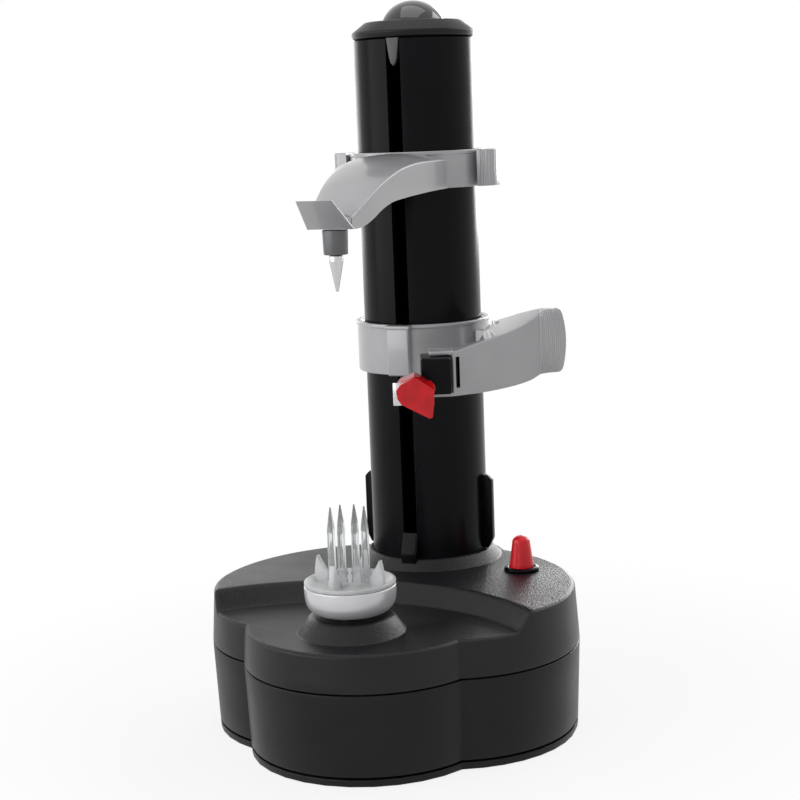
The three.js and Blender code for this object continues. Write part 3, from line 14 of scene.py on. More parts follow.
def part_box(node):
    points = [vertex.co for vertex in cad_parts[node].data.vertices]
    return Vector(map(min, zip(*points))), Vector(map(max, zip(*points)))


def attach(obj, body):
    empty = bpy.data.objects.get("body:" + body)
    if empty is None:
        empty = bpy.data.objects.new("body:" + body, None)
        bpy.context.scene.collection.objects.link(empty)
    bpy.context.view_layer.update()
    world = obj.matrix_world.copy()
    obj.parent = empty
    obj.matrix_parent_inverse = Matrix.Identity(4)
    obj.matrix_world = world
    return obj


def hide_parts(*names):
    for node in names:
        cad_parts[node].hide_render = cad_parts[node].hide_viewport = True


MM = 0.001
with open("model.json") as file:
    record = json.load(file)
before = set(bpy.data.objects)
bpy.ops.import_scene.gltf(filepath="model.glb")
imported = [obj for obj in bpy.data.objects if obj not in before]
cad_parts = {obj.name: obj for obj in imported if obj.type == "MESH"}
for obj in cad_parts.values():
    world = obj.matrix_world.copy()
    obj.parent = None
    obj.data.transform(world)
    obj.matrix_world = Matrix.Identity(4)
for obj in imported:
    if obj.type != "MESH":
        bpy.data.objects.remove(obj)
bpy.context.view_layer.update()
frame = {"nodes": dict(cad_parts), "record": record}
nodes = frame["nodes"]


def low(node):
    """A node's lowest corner, in millimetres."""
    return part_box(node)[0] / MM


def high(node):
    """A node's highest corner, in millimetres."""
    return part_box(node)[1] / MM


def middle(node):
    return (low(node) + high(node)) / 2


# Camera, fitted to the photograph
IMAGE_SIZE = 800
FOCAL_PIXELS = 1760.774
SENSOR_WIDTH = 36
CAMERA_AZIMUTH = math.radians(21)
CAMERA_PITCH = math.radians(9.112)
CAMERA_ROLL = math.radians(-2.161)
CAMERA_DISTANCE = 732.236
TARGET_SIDE = -10.734
TARGET_HEIGHT = 123.521


def add_camera():
    sin_a, cos_a = math.sin(CAMERA_AZIMUTH), math.cos(CAMERA_AZIMUTH)
    sin_p, cos_p = math.sin(CAMERA_PITCH), math.cos(CAMERA_PITCH)
    forward = Vector((-sin_a * cos_p, cos_a * cos_p, -sin_p))
    right = Vector((cos_a, sin_a, 0))
    up = right.cross(forward)
    turned_right = right * math.cos(CAMERA_ROLL) + up * math.sin(CAMERA_ROLL)
    turned_up = up * math.cos(CAMERA_ROLL) - right * math.sin(CAMERA_ROLL)
    target = Vector((cos_a * TARGET_SIDE, sin_a * TARGET_SIDE, TARGET_HEIGHT))
    place = (target - forward * CAMERA_DISTANCE) * MM
    data = bpy.data.cameras.new("camera")
    data.sensor_width = SENSOR_WIDTH
    data.lens = FOCAL_PIXELS / IMAGE_SIZE * SENSOR_WIDTH
    camera = bpy.data.objects.new("camera", data)
    axes = Matrix((turned_right, turned_up, -forward)).transposed()
    camera.matrix_world = Matrix.Translation(place) @ axes.to_4x4()
    bpy.context.collection.objects.link(camera)
    bpy.context.scene.camera = camera


add_camera()


# Materials: grain and scale in features per metre, depth in metres, colours linear
NOISE_SPAN = (0.3, 0.7)
BROAD_SCALE = 45
BROAD_DETAIL = 2.0
GRAIN_DETAIL = 3.0
COAT_ROUGHNESS = 0.08
LEVEL_SPAN = (0.1, 0.5)
UPRIGHT_SHARE = 0.12
MARKS_SCALE = 900
MARKS_DETAIL = 4.0
MARKS_DEPTH = 0.00003
MARKS_STRENGTH = 0.25
CLOUD_SCALE = 160


def shader(name):
    material = bpy.data.materials.new(name)
    material.use_nodes = True
    tree = material.node_tree
    return material, tree, tree.nodes["Principled BSDF"]


def set_sockets(tree, node, sockets):
    """Sets each socket to its value, or links it to another node's output."""
    for socket, value in sockets.items():
        if isinstance(value, bpy.types.NodeSocket):
            tree.links.new(value, node.inputs[socket])
        else:
            node.inputs[socket].default_value = value


def new_node(tree, kind, sockets, operation=None):
    node = tree.nodes.new("ShaderNode" + kind)
    if operation:
        node.operation = operation
    set_sockets(tree, node, sockets)
    return node


def noise(tree, scale, detail, stretch=None):
    """Noise in object coordinates."""
    vector = new_node(tree, "TexCoord", {}).outputs["Object"]
    if stretch:
        vector = new_node(tree, "Mapping", {"Vector": vector, "Scale": stretch}).outputs["Vector"]
    texture = new_node(tree, "TexNoise", {"Vector": vector, "Scale": scale, "Detail": detail})
    return texture.outputs["Fac"]


def spread(tree, source, low_value, high_value, span=NOISE_SPAN):
    """A value that runs between two limits while the source runs over a span."""
    return new_node(tree, "MapRange", {
        "Value": source, "From Min": span[0], "From Max": span[1], "To Min": low_value, "To Max": high_value,
    }).outputs["Result"]


def shade(tree, source, dark, light):
    """A colour that runs between two shades with the source."""
    ramp = new_node(tree, "ValToRGB", {"Fac": source})
    for element, place, colour in zip(ramp.color_ramp.elements, NOISE_SPAN, (dark, light)):
        element.position = place
        element.color = (*colour, 1)
    return ramp.outputs["Color"]


def bumped(tree, height, depth, strength):
    bump = new_node(tree, "Bump", {"Height": height, "Distance": depth, "Strength": strength})
    return bump.outputs["Normal"]


def on_level_faces(tree, height):
    """A height that fades out on upright faces."""
    normal = new_node(tree, "TexCoord", {}).outputs["Normal"]
    upward = new_node(tree, "SeparateXYZ", {"Vector": normal}).outputs["Z"]
    share = spread(tree, upward, UPRIGHT_SHARE, 1, LEVEL_SPAN)
    return new_node(tree, "Math", {0: height, 1: share}, "MULTIPLY").outputs["Value"]


def moulded(
    name, dark, light, rough, grain, depth, strength=0.4, coat=0.0, metallic=0.0, ior=1.5, specular=0.5,
    level_only=False,
):
    """Moulded plastic: a fine grain, on level faces only if asked, and broad changes in gloss and shade."""
    material, tree, bsdf = shader(name)
    height = noise(tree, grain, GRAIN_DETAIL)
    if level_only:
        height = on_level_faces(tree, height)
    broad = noise(tree, BROAD_SCALE, BROAD_DETAIL)
    set_sockets(tree, bsdf, {
        "Base Color": shade(tree, broad, dark, light), "Roughness": spread(tree, broad, *rough),
        "Normal": bumped(tree, height, depth, strength), "Metallic": metallic, "IOR": ior,
        "Specular IOR Level": specular, "Coat Weight": coat, "Coat Roughness": COAT_ROUGHNESS,
    })
    return material


def turned_metal(name, dark, light, rough):
    """Metal with fine upright turning marks."""
    material, tree, bsdf = shader(name)
    marks = noise(tree, MARKS_SCALE, MARKS_DETAIL, UPRIGHT_MARKS)
    set_sockets(tree, bsdf, {
        "Base Color": shade(tree, marks, dark, light), "Roughness": spread(tree, marks, *rough),
        "Normal": bumped(tree, marks, MARKS_DEPTH, MARKS_STRENGTH), "Metallic": 1.0,
    })
    return material


def clear(name, dark, light, rough, transmission, ior=1.49, specular=0.5):
    """See-through plastic, with a slight cloudiness."""
    material, tree, bsdf = shader(name)
    cloud = noise(tree, CLOUD_SCALE, BROAD_DETAIL)
    set_sockets(tree, bsdf, {
        "Base Color": shade(tree, cloud, dark, light), "Roughness": spread(tree, cloud, *rough),
        "Transmission Weight": transmission, "Specular IOR Level": specular, "IOR": ior,
    })
    return material


UPRIGHT_MARKS = (1, 1, 12)
SHELL_DARK = (0.0056, 0.0055, 0.0068)
SHELL_LIGHT = (0.0088, 0.0087, 0.0104)
black_shell = moulded(
    "black_shell", SHELL_DARK, SHELL_LIGHT, (0.34, 0.44), 1100, 0.00010, 0.4,
    ior=1.33, specular=0.4,
)
black_grain = moulded(
    "black_grain", SHELL_DARK, SHELL_LIGHT, (0.32, 0.42), 1500, 0.0005, 0.5,
    ior=1.36, specular=0.45, level_only=True,
)
black_column = moulded(
    "black_column", (0.0024, 0.0025, 0.0035), (0.0040, 0.0041, 0.0055), (0.2, 0.28), 1600, 0.00003, 0.2,
    ior=1.3, specular=0.2,
)
black_gloss = moulded(
    "black_gloss", (0.003, 0.003, 0.004), (0.005, 0.005, 0.006), (0.04, 0.07), 700, 0.00001, 0.1, coat=0.6,
)
silver_paint = moulded(
    "silver_paint", (0.35, 0.35, 0.362), (0.40, 0.40, 0.412), (0.32, 0.4), 5200, 0.00002, 0.15,
    coat=0.6, metallic=0.2,
)
satin_silver = moulded(
    "satin_silver", (0.62, 0.62, 0.64), (0.70, 0.70, 0.72), (0.28, 0.36), 2400, 0.00003, 0.2,
    coat=0.3, metallic=0.35,
)
red_clear = clear(
    "red_clear", (0.55, 0.002, 0.006), (0.82, 0.006, 0.012), (0.05, 0.12), 0.12, specular=0.3,
)
red_button = moulded(
    "red_button", (0.80, 0.008, 0.018), (0.92, 0.015, 0.028), (0.3, 0.38), 900, 0.00003, 0.15,
    coat=0.1, specular=0.35,
)
clear_plastic = clear("clear_plastic", (0.84, 0.86, 0.87), (0.95, 0.96, 0.96), (0.03, 0.08), 0.92)
frosted = clear("frosted", (0.86, 0.87, 0.88), (0.95, 0.955, 0.96), (0.3, 0.42), 0.5)
grey_plastic = moulded(
    "grey_plastic", (0.05, 0.05, 0.053), (0.07, 0.07, 0.073), (0.4, 0.5), 1800, 0.00005, 0.3,
)
socket_grey = moulded(
    "socket_grey", (0.10, 0.102, 0.106), (0.14, 0.142, 0.147), (0.3, 0.4), 1800, 0.00004, 0.25, metallic=0.3,
)
white_nylon = moulded(
    "white_nylon", (0.70, 0.69, 0.65), (0.78, 0.77, 0.74), (0.42, 0.52), 1500, 0.00005, 0.25,
)
steel = turned_metal("steel", (0.48, 0.48, 0.50), (0.62, 0.62, 0.63), (0.2, 0.34))
dark_steel = turned_metal("dark_steel", (0.05, 0.05, 0.055), (0.09, 0.09, 0.095), (0.3, 0.45))
brass = turned_metal("brass", (0.60, 0.44, 0.17), (0.76, 0.58, 0.26), (0.2, 0.34))
rubber = moulded("rubber", (0.014, 0.014, 0.014), (0.022, 0.022, 0.022), (0.7, 0.85), 1900, 0.0001, 0.5)
cell_jacket = moulded(
    "cell_jacket", (0.05, 0.13, 0.03), (0.07, 0.17, 0.05), (0.3, 0.4), 600, 0.00002, 0.15, coat=0.3,
)

SLOT_MATERIALS = {
    "black_shell": black_shell,
    "black_gloss": black_column,
    "silver_paint": silver_paint,
    "satin_metal": satin_silver,
    "clear_plastic": clear_plastic,
    "red_plastic": red_clear,
    "grey_plastic": grey_plastic,
    "white_nylon": white_nylon,
    "steel": steel,
    "brass": brass,
    "rubber": rubber,
    "cell_jacket": cell_jacket,
}
slot_of = {part["node"]: part["material_slot"] for part in frame["record"]["subparts"]}


def dress_nodes():
    """Every carried-over node gets the finish of its slot."""
    for name, obj in nodes.items():
        obj.data.materials.clear()
        obj.data.materials.append(SLOT_MATERIALS[slot_of[name]])


dress_nodes()


# Mesh helpers
SHARP_ANGLE = math.radians(32)
NO_LENGTH = 1e-6
SIDE_SHARE = 0.45
FINE_EDGE = 0.3
SMALL_EDGE = 0.4
SOFT_EDGE = 0.5


def smooth_faces(mesh):
    """Smooth shading, with the sharp edges kept."""
    mesh.shade_smooth()
    mesh.set_sharp_from_angle(angle=SHARP_ANGLE)


def apply_modifiers(obj):
    bpy.context.view_layer.update()
    depsgraph = bpy.context.evaluated_depsgraph_get()
    baked = bpy.data.meshes.new_from_object(obj.evaluated_get(depsgraph))
    obj.modifiers.clear()
    obj.data = baked
    smooth_faces(baked)


def shells_of(work):
    """The faces of a mesh, gathered by connected shell."""
    left = set(work.faces)
    while left:
        shell = [left.pop()]
        for face in shell:
            for edge in face.edges:
                for other in edge.link_faces:
                    if other in left:
                        left.remove(other)
                        shell.append(other)
        yield shell


def shell_volume(shell):
    """Six times the volume that a shell closes in; below nought if its faces look inwards."""
    total = 0.0
    for face in shell:
        corners = [vertex.co for vertex in face.verts]
        for b, c in zip(corners[1:], corners[2:]):
            total += corners[0].dot(b.cross(c))
    return total


def solid_mesh(name, points, faces):
    """A mesh from points in millimetres, with the faces of every closed shell turned outwards."""
    mesh = bpy.data.meshes.new(name)
    mesh.from_pydata([Vector(point) * MM for point in points], [], faces)
    mesh.validate()
    work = bmesh.new()
    work.from_mesh(mesh)
    loose = [vertex for vertex in work.verts if not vertex.link_faces]
    bmesh.ops.delete(work, geom=loose, context="VERTS")
    bmesh.ops.recalc_face_normals(work, faces=work.faces)
    for shell in shells_of(work):
        closed = all(len(edge.link_faces) == 2 for face in shell for edge in face.edges)
        if closed and shell_volume(shell) < 0:
            bmesh.ops.reverse_faces(work, faces=shell)
    work.to_mesh(mesh)
    work.free()
    return mesh


def add_piece(name, points, faces, material, body, replaced=()):
    """Makes a piece from points in millimetres and lets it ride on a body."""
    mesh = solid_mesh(name, points, faces)
    smooth_faces(mesh)
    mesh.materials.append(material)
    obj = bpy.data.objects.new(name, mesh)
    bpy.context.collection.objects.link(obj)
    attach(obj, body)
    if replaced:
        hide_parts(*replaced)
    return obj


def rounded(profile, radius, steps=5, closed=False):
    """A profile with its corners rounded, each as far as its sides leave room."""
    count = len(profile)
    points = []
    for i, corner in enumerate(profile):
        here = Vector(corner)
        before = Vector(profile[i - 1]) - here
        after = Vector(profile[(i + 1) % count]) - here
        at_end = not closed and i in (0, count - 1)
        if at_end or before.length < NO_LENGTH or after.length < NO_LENGTH:
            points.append(corner)
            continue
        reach = min(radius, SIDE_SHARE * before.length, SIDE_SHARE * after.length)
        start = here + before.normalized() * reach
        end = here + after.normalized() * reach
        for k in range(steps + 1):
            t = k / steps
            points.append(tuple(start * (1 - t) ** 2 + here * (2 * t * (1 - t)) + end * t ** 2))
    return points


def on_circle(centre, radius, angle):
    return centre[0] + radius * math.cos(angle), centre[1] + radius * math.sin(angle)


def turned(profile, centre=(0, 0), sides=96):
    """Points and faces of a turned piece; a profile that closes on itself makes a ring."""
    closed = (Vector(profile[0]) - Vector(profile[-1])).length < NO_LENGTH
    ring = profile[:-1] if closed else profile
    points, rows = [], []
    for radius, height in ring:
        if radius < NO_LENGTH:
            rows.append([len(points)] * sides)
            points.append((centre[0], centre[1], height))
            continue
        rows.append(list(range(len(points), len(points) + sides)))
        for k in range(sides):
            x, y = on_circle(centre, radius, 2 * math.pi * k / sides)
            points.append((x, y, height))
    faces = []
    pairs = list(zip(rows, rows[1:]))
    if closed:
        pairs.append((rows[-1], rows[0]))
    for lower, upper in pairs:
        for k in range(sides):
            n = (k + 1) % sides
            corners = []
            for index in (lower[k], lower[n], upper[n], upper[k]):
                if index not in corners:
                    corners.append(index)
            if len(corners) > 2:
                faces.append(corners)
    return points, faces


def banded(loops, capped=True):
    """Points and faces of a skin through closed loops of equal length, closed at its ends if capped."""
    count = len(loops[0])
    points = [point for loop in loops for point in loop]
    faces = []
    for k in range(len(loops) - 1):
        for j in range(count):
            n = (j + 1) % count
            faces.append((k * count + j, k * count + n, (k + 1) * count + n, (k + 1) * count + j))
    if capped:
        faces.append(tuple(reversed(range(count))))
        last = (len(loops) - 1) * count
        faces.append(tuple(range(last, last + count)))
    return points, faces


def merged(*parts):
    """Several sets of points and faces as one."""
    points, faces = [], []
    for part_points, part_faces in parts:
        start = len(points)
        points += part_points
        faces += [tuple(index + start for index in face) for face in part_faces]
    return points, faces


def drawn_in(outline, inset):
    """A closed outline, listed anticlockwise, drawn in along its normals."""
    made = []
    for k, point in enumerate(outline):
        here = Vector(point)
        before = (here - Vector(outline[k - 1])).normalized()
        after = (Vector(outline[(k + 1) % len(outline)]) - here).normalized()
        along = before + after
        if along.length < NO_LENGTH:
            along = after
        along.normalize()
        made.append((here.x - along.y * inset, here.y + along.x * inset))
    return made


def rim_steps(edge, steps):
    """Steps over a rounded rim, from its end to its side: how far up, and how far drawn in."""
    turns = [math.pi / 2 * k / steps for k in range(steps + 1)]
    return [(edge * (1 - math.cos(turn)), edge * (1 - math.sin(turn))) for turn in turns]


def prism(outline, z0, z1, edge=SMALL_EDGE, steps=3):
    """An upright prism with rounded rims."""
    rims = rim_steps(edge, steps)
    levels = [(z0 + up, inset) for up, inset in rims] + [(z1 - up, inset) for up, inset in rims[::-1]]
    return banded([[(x, y, z) for x, y in drawn_in(outline, inset)] for z, inset in levels])


def rectangle(x0, x1, y0, y1, radius, steps=3):
    """A rectangle's outline with rounded corners."""
    return rounded([(x0, y0), (x1, y0), (x1, y1), (x0, y1)], radius, steps, True)


def block(x0, x1, y0, y1, z0, z1, edge):
    """A box with rounded edges."""
    return prism(rectangle(x0, x1, y0, y1, edge), z0, z1, edge)


def lathe(profile, radius, steps, centre, sides):
    """A turned piece whose profile has rounded corners."""
    return turned(rounded(profile, radius, steps), centre, sides)


def tube(bore, radius, z0, z1):
    return [(bore, z0), (radius, z0), (radius, z1), (bore, z1), (bore, z0)]


def moved(shape, matrix):
    points, faces = shape
    return [tuple(matrix @ Vector(point)) for point in points], faces


WELD_DISTANCE = 0.00001
FLAT_ANGLE = math.radians(1)
SOFT_ANGLE = math.radians(30)


def softened_node(name, material, body, width, steps):
    """A copy of a node with rounded edges, which stands for the node."""
    mesh = nodes[name].data.copy()
    mesh.name = "soft_" + name
    mesh.materials.clear()
    mesh.materials.append(material)
    obj = bpy.data.objects.new("soft_" + name, mesh)
    bpy.context.collection.objects.link(obj)
    obj.modifiers.new("weld", "WELD").merge_threshold = WELD_DISTANCE
    flat = obj.modifiers.new("flat", "DECIMATE")
    flat.decimate_type = "DISSOLVE"
    flat.angle_limit = FLAT_ANGLE
    soft = obj.modifiers.new("soft", "BEVEL")
    soft.width = width * MM
    soft.segments = steps
    soft.limit_method = "ANGLE"
    soft.angle_limit = SOFT_ANGLE
    soft.use_clamp_overlap = True
    soft.harden_normals = False
    apply_modifiers(obj)
    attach(obj, body)
    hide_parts(name)


# Base outline: five arcs at the seam, drawn in above and below it
SPINDLE_Y = middle("spindle_shaft").y
SPINDLE = (0, SPINDLE_Y)
SEAM_HEIGHT = 35.3
DECK_HEIGHT = 57.0
TRAY_HEIGHT = 50.0
PLATE_TOP = low("bottom_plate").z + 2.6
FRONT_LOBE_Y = SPINDLE_Y + 15.9
FRONT_RADIUS = 48.1
SIDE_REACH = 74.2
SIDE_LOBE_Y = -47.1
SIDE_FRONT_RADIUS = 49.8
SIDE_BACK_RADIUS = 67.8
BACK_RADIUS = 33.4
FOOT_DRAFT = 1.3
DECK_DRAFT = 1.5
EDGE_RADIUS = 1.8
EDGE_STEPS = 8
STEP_CENTRE_Y = SPINDLE_Y - 45.7
STEP_RADIUS = 84.0
STEP_RUN = 7.0
FRONT_POINTS = 112
SIDE_POINTS = 56
BACK_POINTS = 72


def circles_meet(y1, r1, x2, y2, r2, side):
    """Where a circle about (0, y1) meets one about (x2, y2), on the chosen side."""
    dy = y2 - y1
    span = math.hypot(x2, dy)
    along = (span * span + r1 * r1 - r2 * r2) / (2 * span)
    off = math.sqrt(r1 * r1 - along * along) * side
    return (x2 * along + dy * off) / span, y1 + (dy * along - x2 * off) / span


def draft_at(z):
    """How far the wall is drawn in at a height, from nothing at the seam."""
    if z < SEAM_HEIGHT:
        return FOOT_DRAFT * (SEAM_HEIGHT - z) / (SEAM_HEIGHT - PLATE_TOP)
    return DECK_DRAFT * (z - SEAM_HEIGHT) / (DECK_HEIGHT - SEAM_HEIGHT)


def arc(centre, radius, start, end, count):
    """Points along an arc, without its last."""
    return [on_circle(centre, radius, start + (end - start) * k / count) for k in range(count)]


def base_outline(z, inset=0.0):
    """The lobed outline at a height, drawn in by an inset."""
    drawn = inset + draft_at(z)
    front = FRONT_RADIUS - drawn
    side_front = SIDE_FRONT_RADIUS - drawn
    side_back = SIDE_BACK_RADIUS - drawn
    back = BACK_RADIUS - drawn
    front_x = SIDE_REACH - SIDE_FRONT_RADIUS
    back_x = SIDE_REACH - SIDE_BACK_RADIUS
    cusp = circles_meet(FRONT_LOBE_Y, front, front_x, SIDE_LOBE_Y, side_front, 1)
    notch = circles_meet(0, back, back_x, SIDE_LOBE_Y, side_back, -1)
    cusp_front = math.atan2(cusp[1] - FRONT_LOBE_Y, cusp[0])
    cusp_side = math.atan2(cusp[1] - SIDE_LOBE_Y, cusp[0] - front_x)
    notch_side = math.atan2(notch[1] - SIDE_LOBE_Y, notch[0] - back_x)
    notch_back = math.atan2(notch[1], notch[0])
    return (
        arc((0, FRONT_LOBE_Y), front, -math.pi - cusp_front, cusp_front, FRONT_POINTS)
        + arc((front_x, SIDE_LOBE_Y), side_front, cusp_side, 0, SIDE_POINTS)
        + arc((back_x, SIDE_LOBE_Y), side_back, 0, notch_side, SIDE_POINTS)
        + arc((0, 0), back, notch_back, math.pi - notch_back, BACK_POINTS)
        + arc((-back_x, SIDE_LOBE_Y), side_back, math.pi - notch_side, math.pi, SIDE_POINTS)
        + arc((-front_x, SIDE_LOBE_Y), side_front, math.pi, math.pi - cusp_side, SIDE_POINTS)
    )


def base_loop(z, inset=0.0):
    return [(x, y, z) for x, y in base_outline(z, inset)]


STEP_SOFTNESS = 0.7
STEP_SAMPLES = 5
COVER_RINGS = 150
COVER_CENTRE = Vector((0, -52))
SEAM_EDGE = 0.5
WALL_SHARES = (0.25, 0.5, 0.75)


def cover_height(x, y):
    """Height of the deck, the step and the tray, with softly rounded step edges."""
    reach = math.hypot(x, y - STEP_CENTRE_Y)
    rise = DECK_HEIGHT - TRAY_HEIGHT
    slope = rise / STEP_RUN
    total = 0.0
    for k in range(STEP_SAMPLES):
        offset = STEP_SOFTNESS * (2 * k / (STEP_SAMPLES - 1) - 1)
        total += min(rise, max(0.0, (reach + offset - STEP_RADIUS) * slope))
    return TRAY_HEIGHT + total / STEP_SAMPLES


outline_cache = {}


def base_outline_point(z, inset, index):
    """One point of the outline; heights are rounded so that outlines can be shared."""
    key = (round(z, 2), round(inset, 3))
    if key not in outline_cache:
        outline_cache[key] = base_outline(*key)
    return outline_cache[key][index]


def top_cover_skin():
    """The cover's wall, its rounded upper edge, and rings that run in over deck, step and tray."""
    foot = low("top_cover").z
    start = base_outline(SEAM_HEIGHT)
    count = len(start)
    loops = [base_loop(foot + up, inset) for up, inset in rim_steps(SEAM_EDGE, 3)]
    wall_foot = foot + SEAM_EDGE
    wall_top = [cover_height(x, y) - EDGE_RADIUS for x, y in start]
    for share in WALL_SHARES:
        heights = [wall_foot + (top - wall_foot) * share for top in wall_top]
        loops.append([(*base_outline_point(z, 0.0, k), z) for k, z in enumerate(heights)])
    for down, inset in reversed(rim_steps(EDGE_RADIUS, EDGE_STEPS)):
        loop = []
        for j in range(count):
            top = cover_height(*base_outline_point(TRAY_HEIGHT, inset, j))
            loop.append((*base_outline_point(top - EDGE_RADIUS, inset, j), top - down))
        loops.append(loop)
    rim = [Vector(point[:2]) for point in loops[-1]]
    for ring in range(1, COVER_RINGS):
        share = 1 - ring / COVER_RINGS
        loop = []
        for point in rim:
            here = COVER_CENTRE + (point - COVER_CENTRE) * share
            loop.append((here.x, here.y, cover_height(here.x, here.y)))
        loops.append(loop)
    points, faces = banded(loops, False)
    last = (len(loops) - 1) * count
    points.append((*COVER_CENTRE, cover_height(*COVER_CENTRE)))
    for j in range(count):
        faces.append((last + j, last + (j + 1) % count, len(points) - 1))
    return points, faces


CONE_FOOT_RADIUS = 20.5
CONE_TOP_RADIUS = 15.6
CONE_TOP = high("top_cover").z - 4.9
RING_FOOT_RADIUS = 29.4
RING_TOP_RADIUS = 25.8
RING_TOP = high("top_cover").z
COLUMN_RADIUS = 24.0
FLARE = 1.6
FLARE_SINK = 0.6
FLARE_STEP = 0.02
CONE_BORE = 6.0
RING_GAP = 0.25


def flared(foot_radius, foot_z, top_radius, top_z, bore):
    """A low cone with a soft flare at its foot and a rounded upper edge."""
    sunk = foot_z - FLARE_SINK
    outer = [
        (foot_radius + FLARE, sunk), (foot_radius + FLARE, foot_z - FLARE_STEP),
        (foot_radius, foot_z), (top_radius, top_z), (bore, top_z),
    ]
    return rounded(outer, FLARE, 6) + [(bore, sunk), (foot_radius + FLARE, sunk)]


def add_top_cover():
    cone = flared(CONE_FOOT_RADIUS, TRAY_HEIGHT, CONE_TOP_RADIUS, CONE_TOP, CONE_BORE)
    ring = flared(RING_FOOT_RADIUS, DECK_HEIGHT, RING_TOP_RADIUS, RING_TOP, COLUMN_RADIUS + RING_GAP)
    add_piece("cover_skin", *top_cover_skin(), black_grain, "base", ["top_cover"])
    add_piece("spindle_cone", *turned(cone, SPINDLE, 128), black_grain, "base")
    add_piece("column_ring", *turned(ring, sides=160), black_grain, "base")


def base_wall(foot, top):
    """The base's wall between two heights, with rounded edges at both."""
    rims = rim_steps(SEAM_EDGE, 4)
    loops = [base_loop(foot + up, inset) for up, inset in rims]
    loops += [base_loop(foot + (top - foot) * share) for share in WALL_SHARES]
    return loops + [base_loop(top - down, inset) for down, inset in reversed(rims)]


LOWER_WALL = 2.5


def add_lower_shell():
    foot = low("lower_shell").z
    top = high("lower_shell").z
    loops = base_wall(foot, top) + [base_loop(top, LOWER_WALL), base_loop(foot, LOWER_WALL)]
    points, faces = banded(loops, False)
    count = len(loops[0])
    last = (len(loops) - 1) * count
    for j in range(count):
        n = (j + 1) % count
        faces.append((last + j, last + n, n, j))
    add_piece("lower_wall", points, faces, black_shell, "base", ["lower_shell"])


def add_bottom_rim():
    """The plate's outer rim, over the carried-over plate."""
    rim = banded(base_wall(low("bottom_plate").z, PLATE_TOP), False)
    add_piece("plate_rim", *rim, black_shell, "base")


add_top_cover()
add_lower_shell()
add_bottom_rim()


# Column, with its slot, ribs and slot foot
COLUMN_BORE = 21.5
COLUMN_EDGE = 0.4
COLUMN_SIDES = 160
SLOT_HALF_WIDTH = 2.9
SLOT_BOTTOM = 72.0
SLOT_SIDES = 4
SILL = 1.5


def column_skin():
    """The tube, which is open at the slot above the sill."""
    half = math.asin(SLOT_HALF_WIDTH / COLUMN_RADIUS)
    start = -math.pi / 2 + half
    span = 2 * math.pi - 2 * half
    around = [start + span * k / COLUMN_SIDES for k in range(COLUMN_SIDES + 1)]
    around += [start + span + 2 * half * k / SLOT_SIDES for k in range(1, SLOT_SIDES)]
    top = high("column").z
    heights = [low("column").z, SLOT_BOTTOM - SILL, SLOT_BOTTOM, top - COLUMN_EDGE, top]
    sill = heights.index(SLOT_BOTTOM)
    last = len(heights) - 1
    outside = [COLUMN_RADIUS] * last + [COLUMN_RADIUS - COLUMN_EDGE]
    points, faces = [], []
    for radii in (outside, [COLUMN_BORE] * len(heights)):
        for radius, z in zip(radii, heights):
            points += [(*on_circle((0, 0), radius, angle), z) for angle in around]
    count = len(around)
    inner = count * len(heights)
    for k in range(last):
        for j in range(COLUMN_SIDES if k >= sill else count):
            a, b = k * count + j, k * count + (j + 1) % count
            faces.append((a, b, b + count, a + count))
            faces.append((inner + b, inner + a, inner + a + count, inner + b + count))
        if k >= sill:
            right = k * count
            left = right + COLUMN_SIDES
            faces.append((inner + right, right, right + count, inner + right + count))
            faces.append((left, inner + left, inner + left + count, left + count))
    for row, sides in ((sill, range(COLUMN_SIDES, count)), (last, range(COLUMN_SIDES))):
        for j in sides:
            a, b = row * count + j, row * count + (j + 1) % count
            faces.append((a, b, inner + b, inner + a))
    return points, faces


RIB_REACH = high("column").x
RIB_FOOT = RING_TOP + 0.3
RIB_TOP = 92.5
RIB_HALF = 1.6
RIB_CORNER = 2.0
RIB_FOOT_CORNER = 4.0
RIB_ROOT = COLUMN_RADIUS - 1
RIB_ROUNDING = 0.7


def upright_plate(outline, y0, y1, edge):
    """A plate with its outline in x and z, standing across y, with rounded rims."""
    points, faces = prism(outline, y0, y1, edge)
    return [(x, depth, z) for x, z, depth in points], [tuple(reversed(face)) for face in faces]


def column_rib(side):
    outline = [
        (side * RIB_ROOT, RIB_FOOT), (side * (RIB_REACH - RIB_CORNER), RIB_FOOT),
        (side * RIB_REACH, RIB_FOOT + RIB_FOOT_CORNER), (side * RIB_REACH, RIB_TOP - RIB_CORNER),
        (side * (RIB_REACH - RIB_CORNER), RIB_TOP), (side * RIB_ROOT, RIB_TOP),
    ]
    return upright_plate(rounded(outline[::side], RIB_ROUNDING, 3, True), -RIB_HALF, RIB_HALF, FINE_EDGE)


FOOT_HALF_WIDTH = 3.3
FOOT_REACH = 27.0
FOOT_ROOT = COLUMN_RADIUS - 1.2
FOOT_END = COLUMN_RADIUS + 0.05
FOOT_START = DECK_HEIGHT + 0.65
FOOT_BEND = 64.0
FOOT_STEPS = 24
FOOT_GROWTH = 1.6
FOOT_TIP = 0.25
FOOT_ROUNDING = 0.9


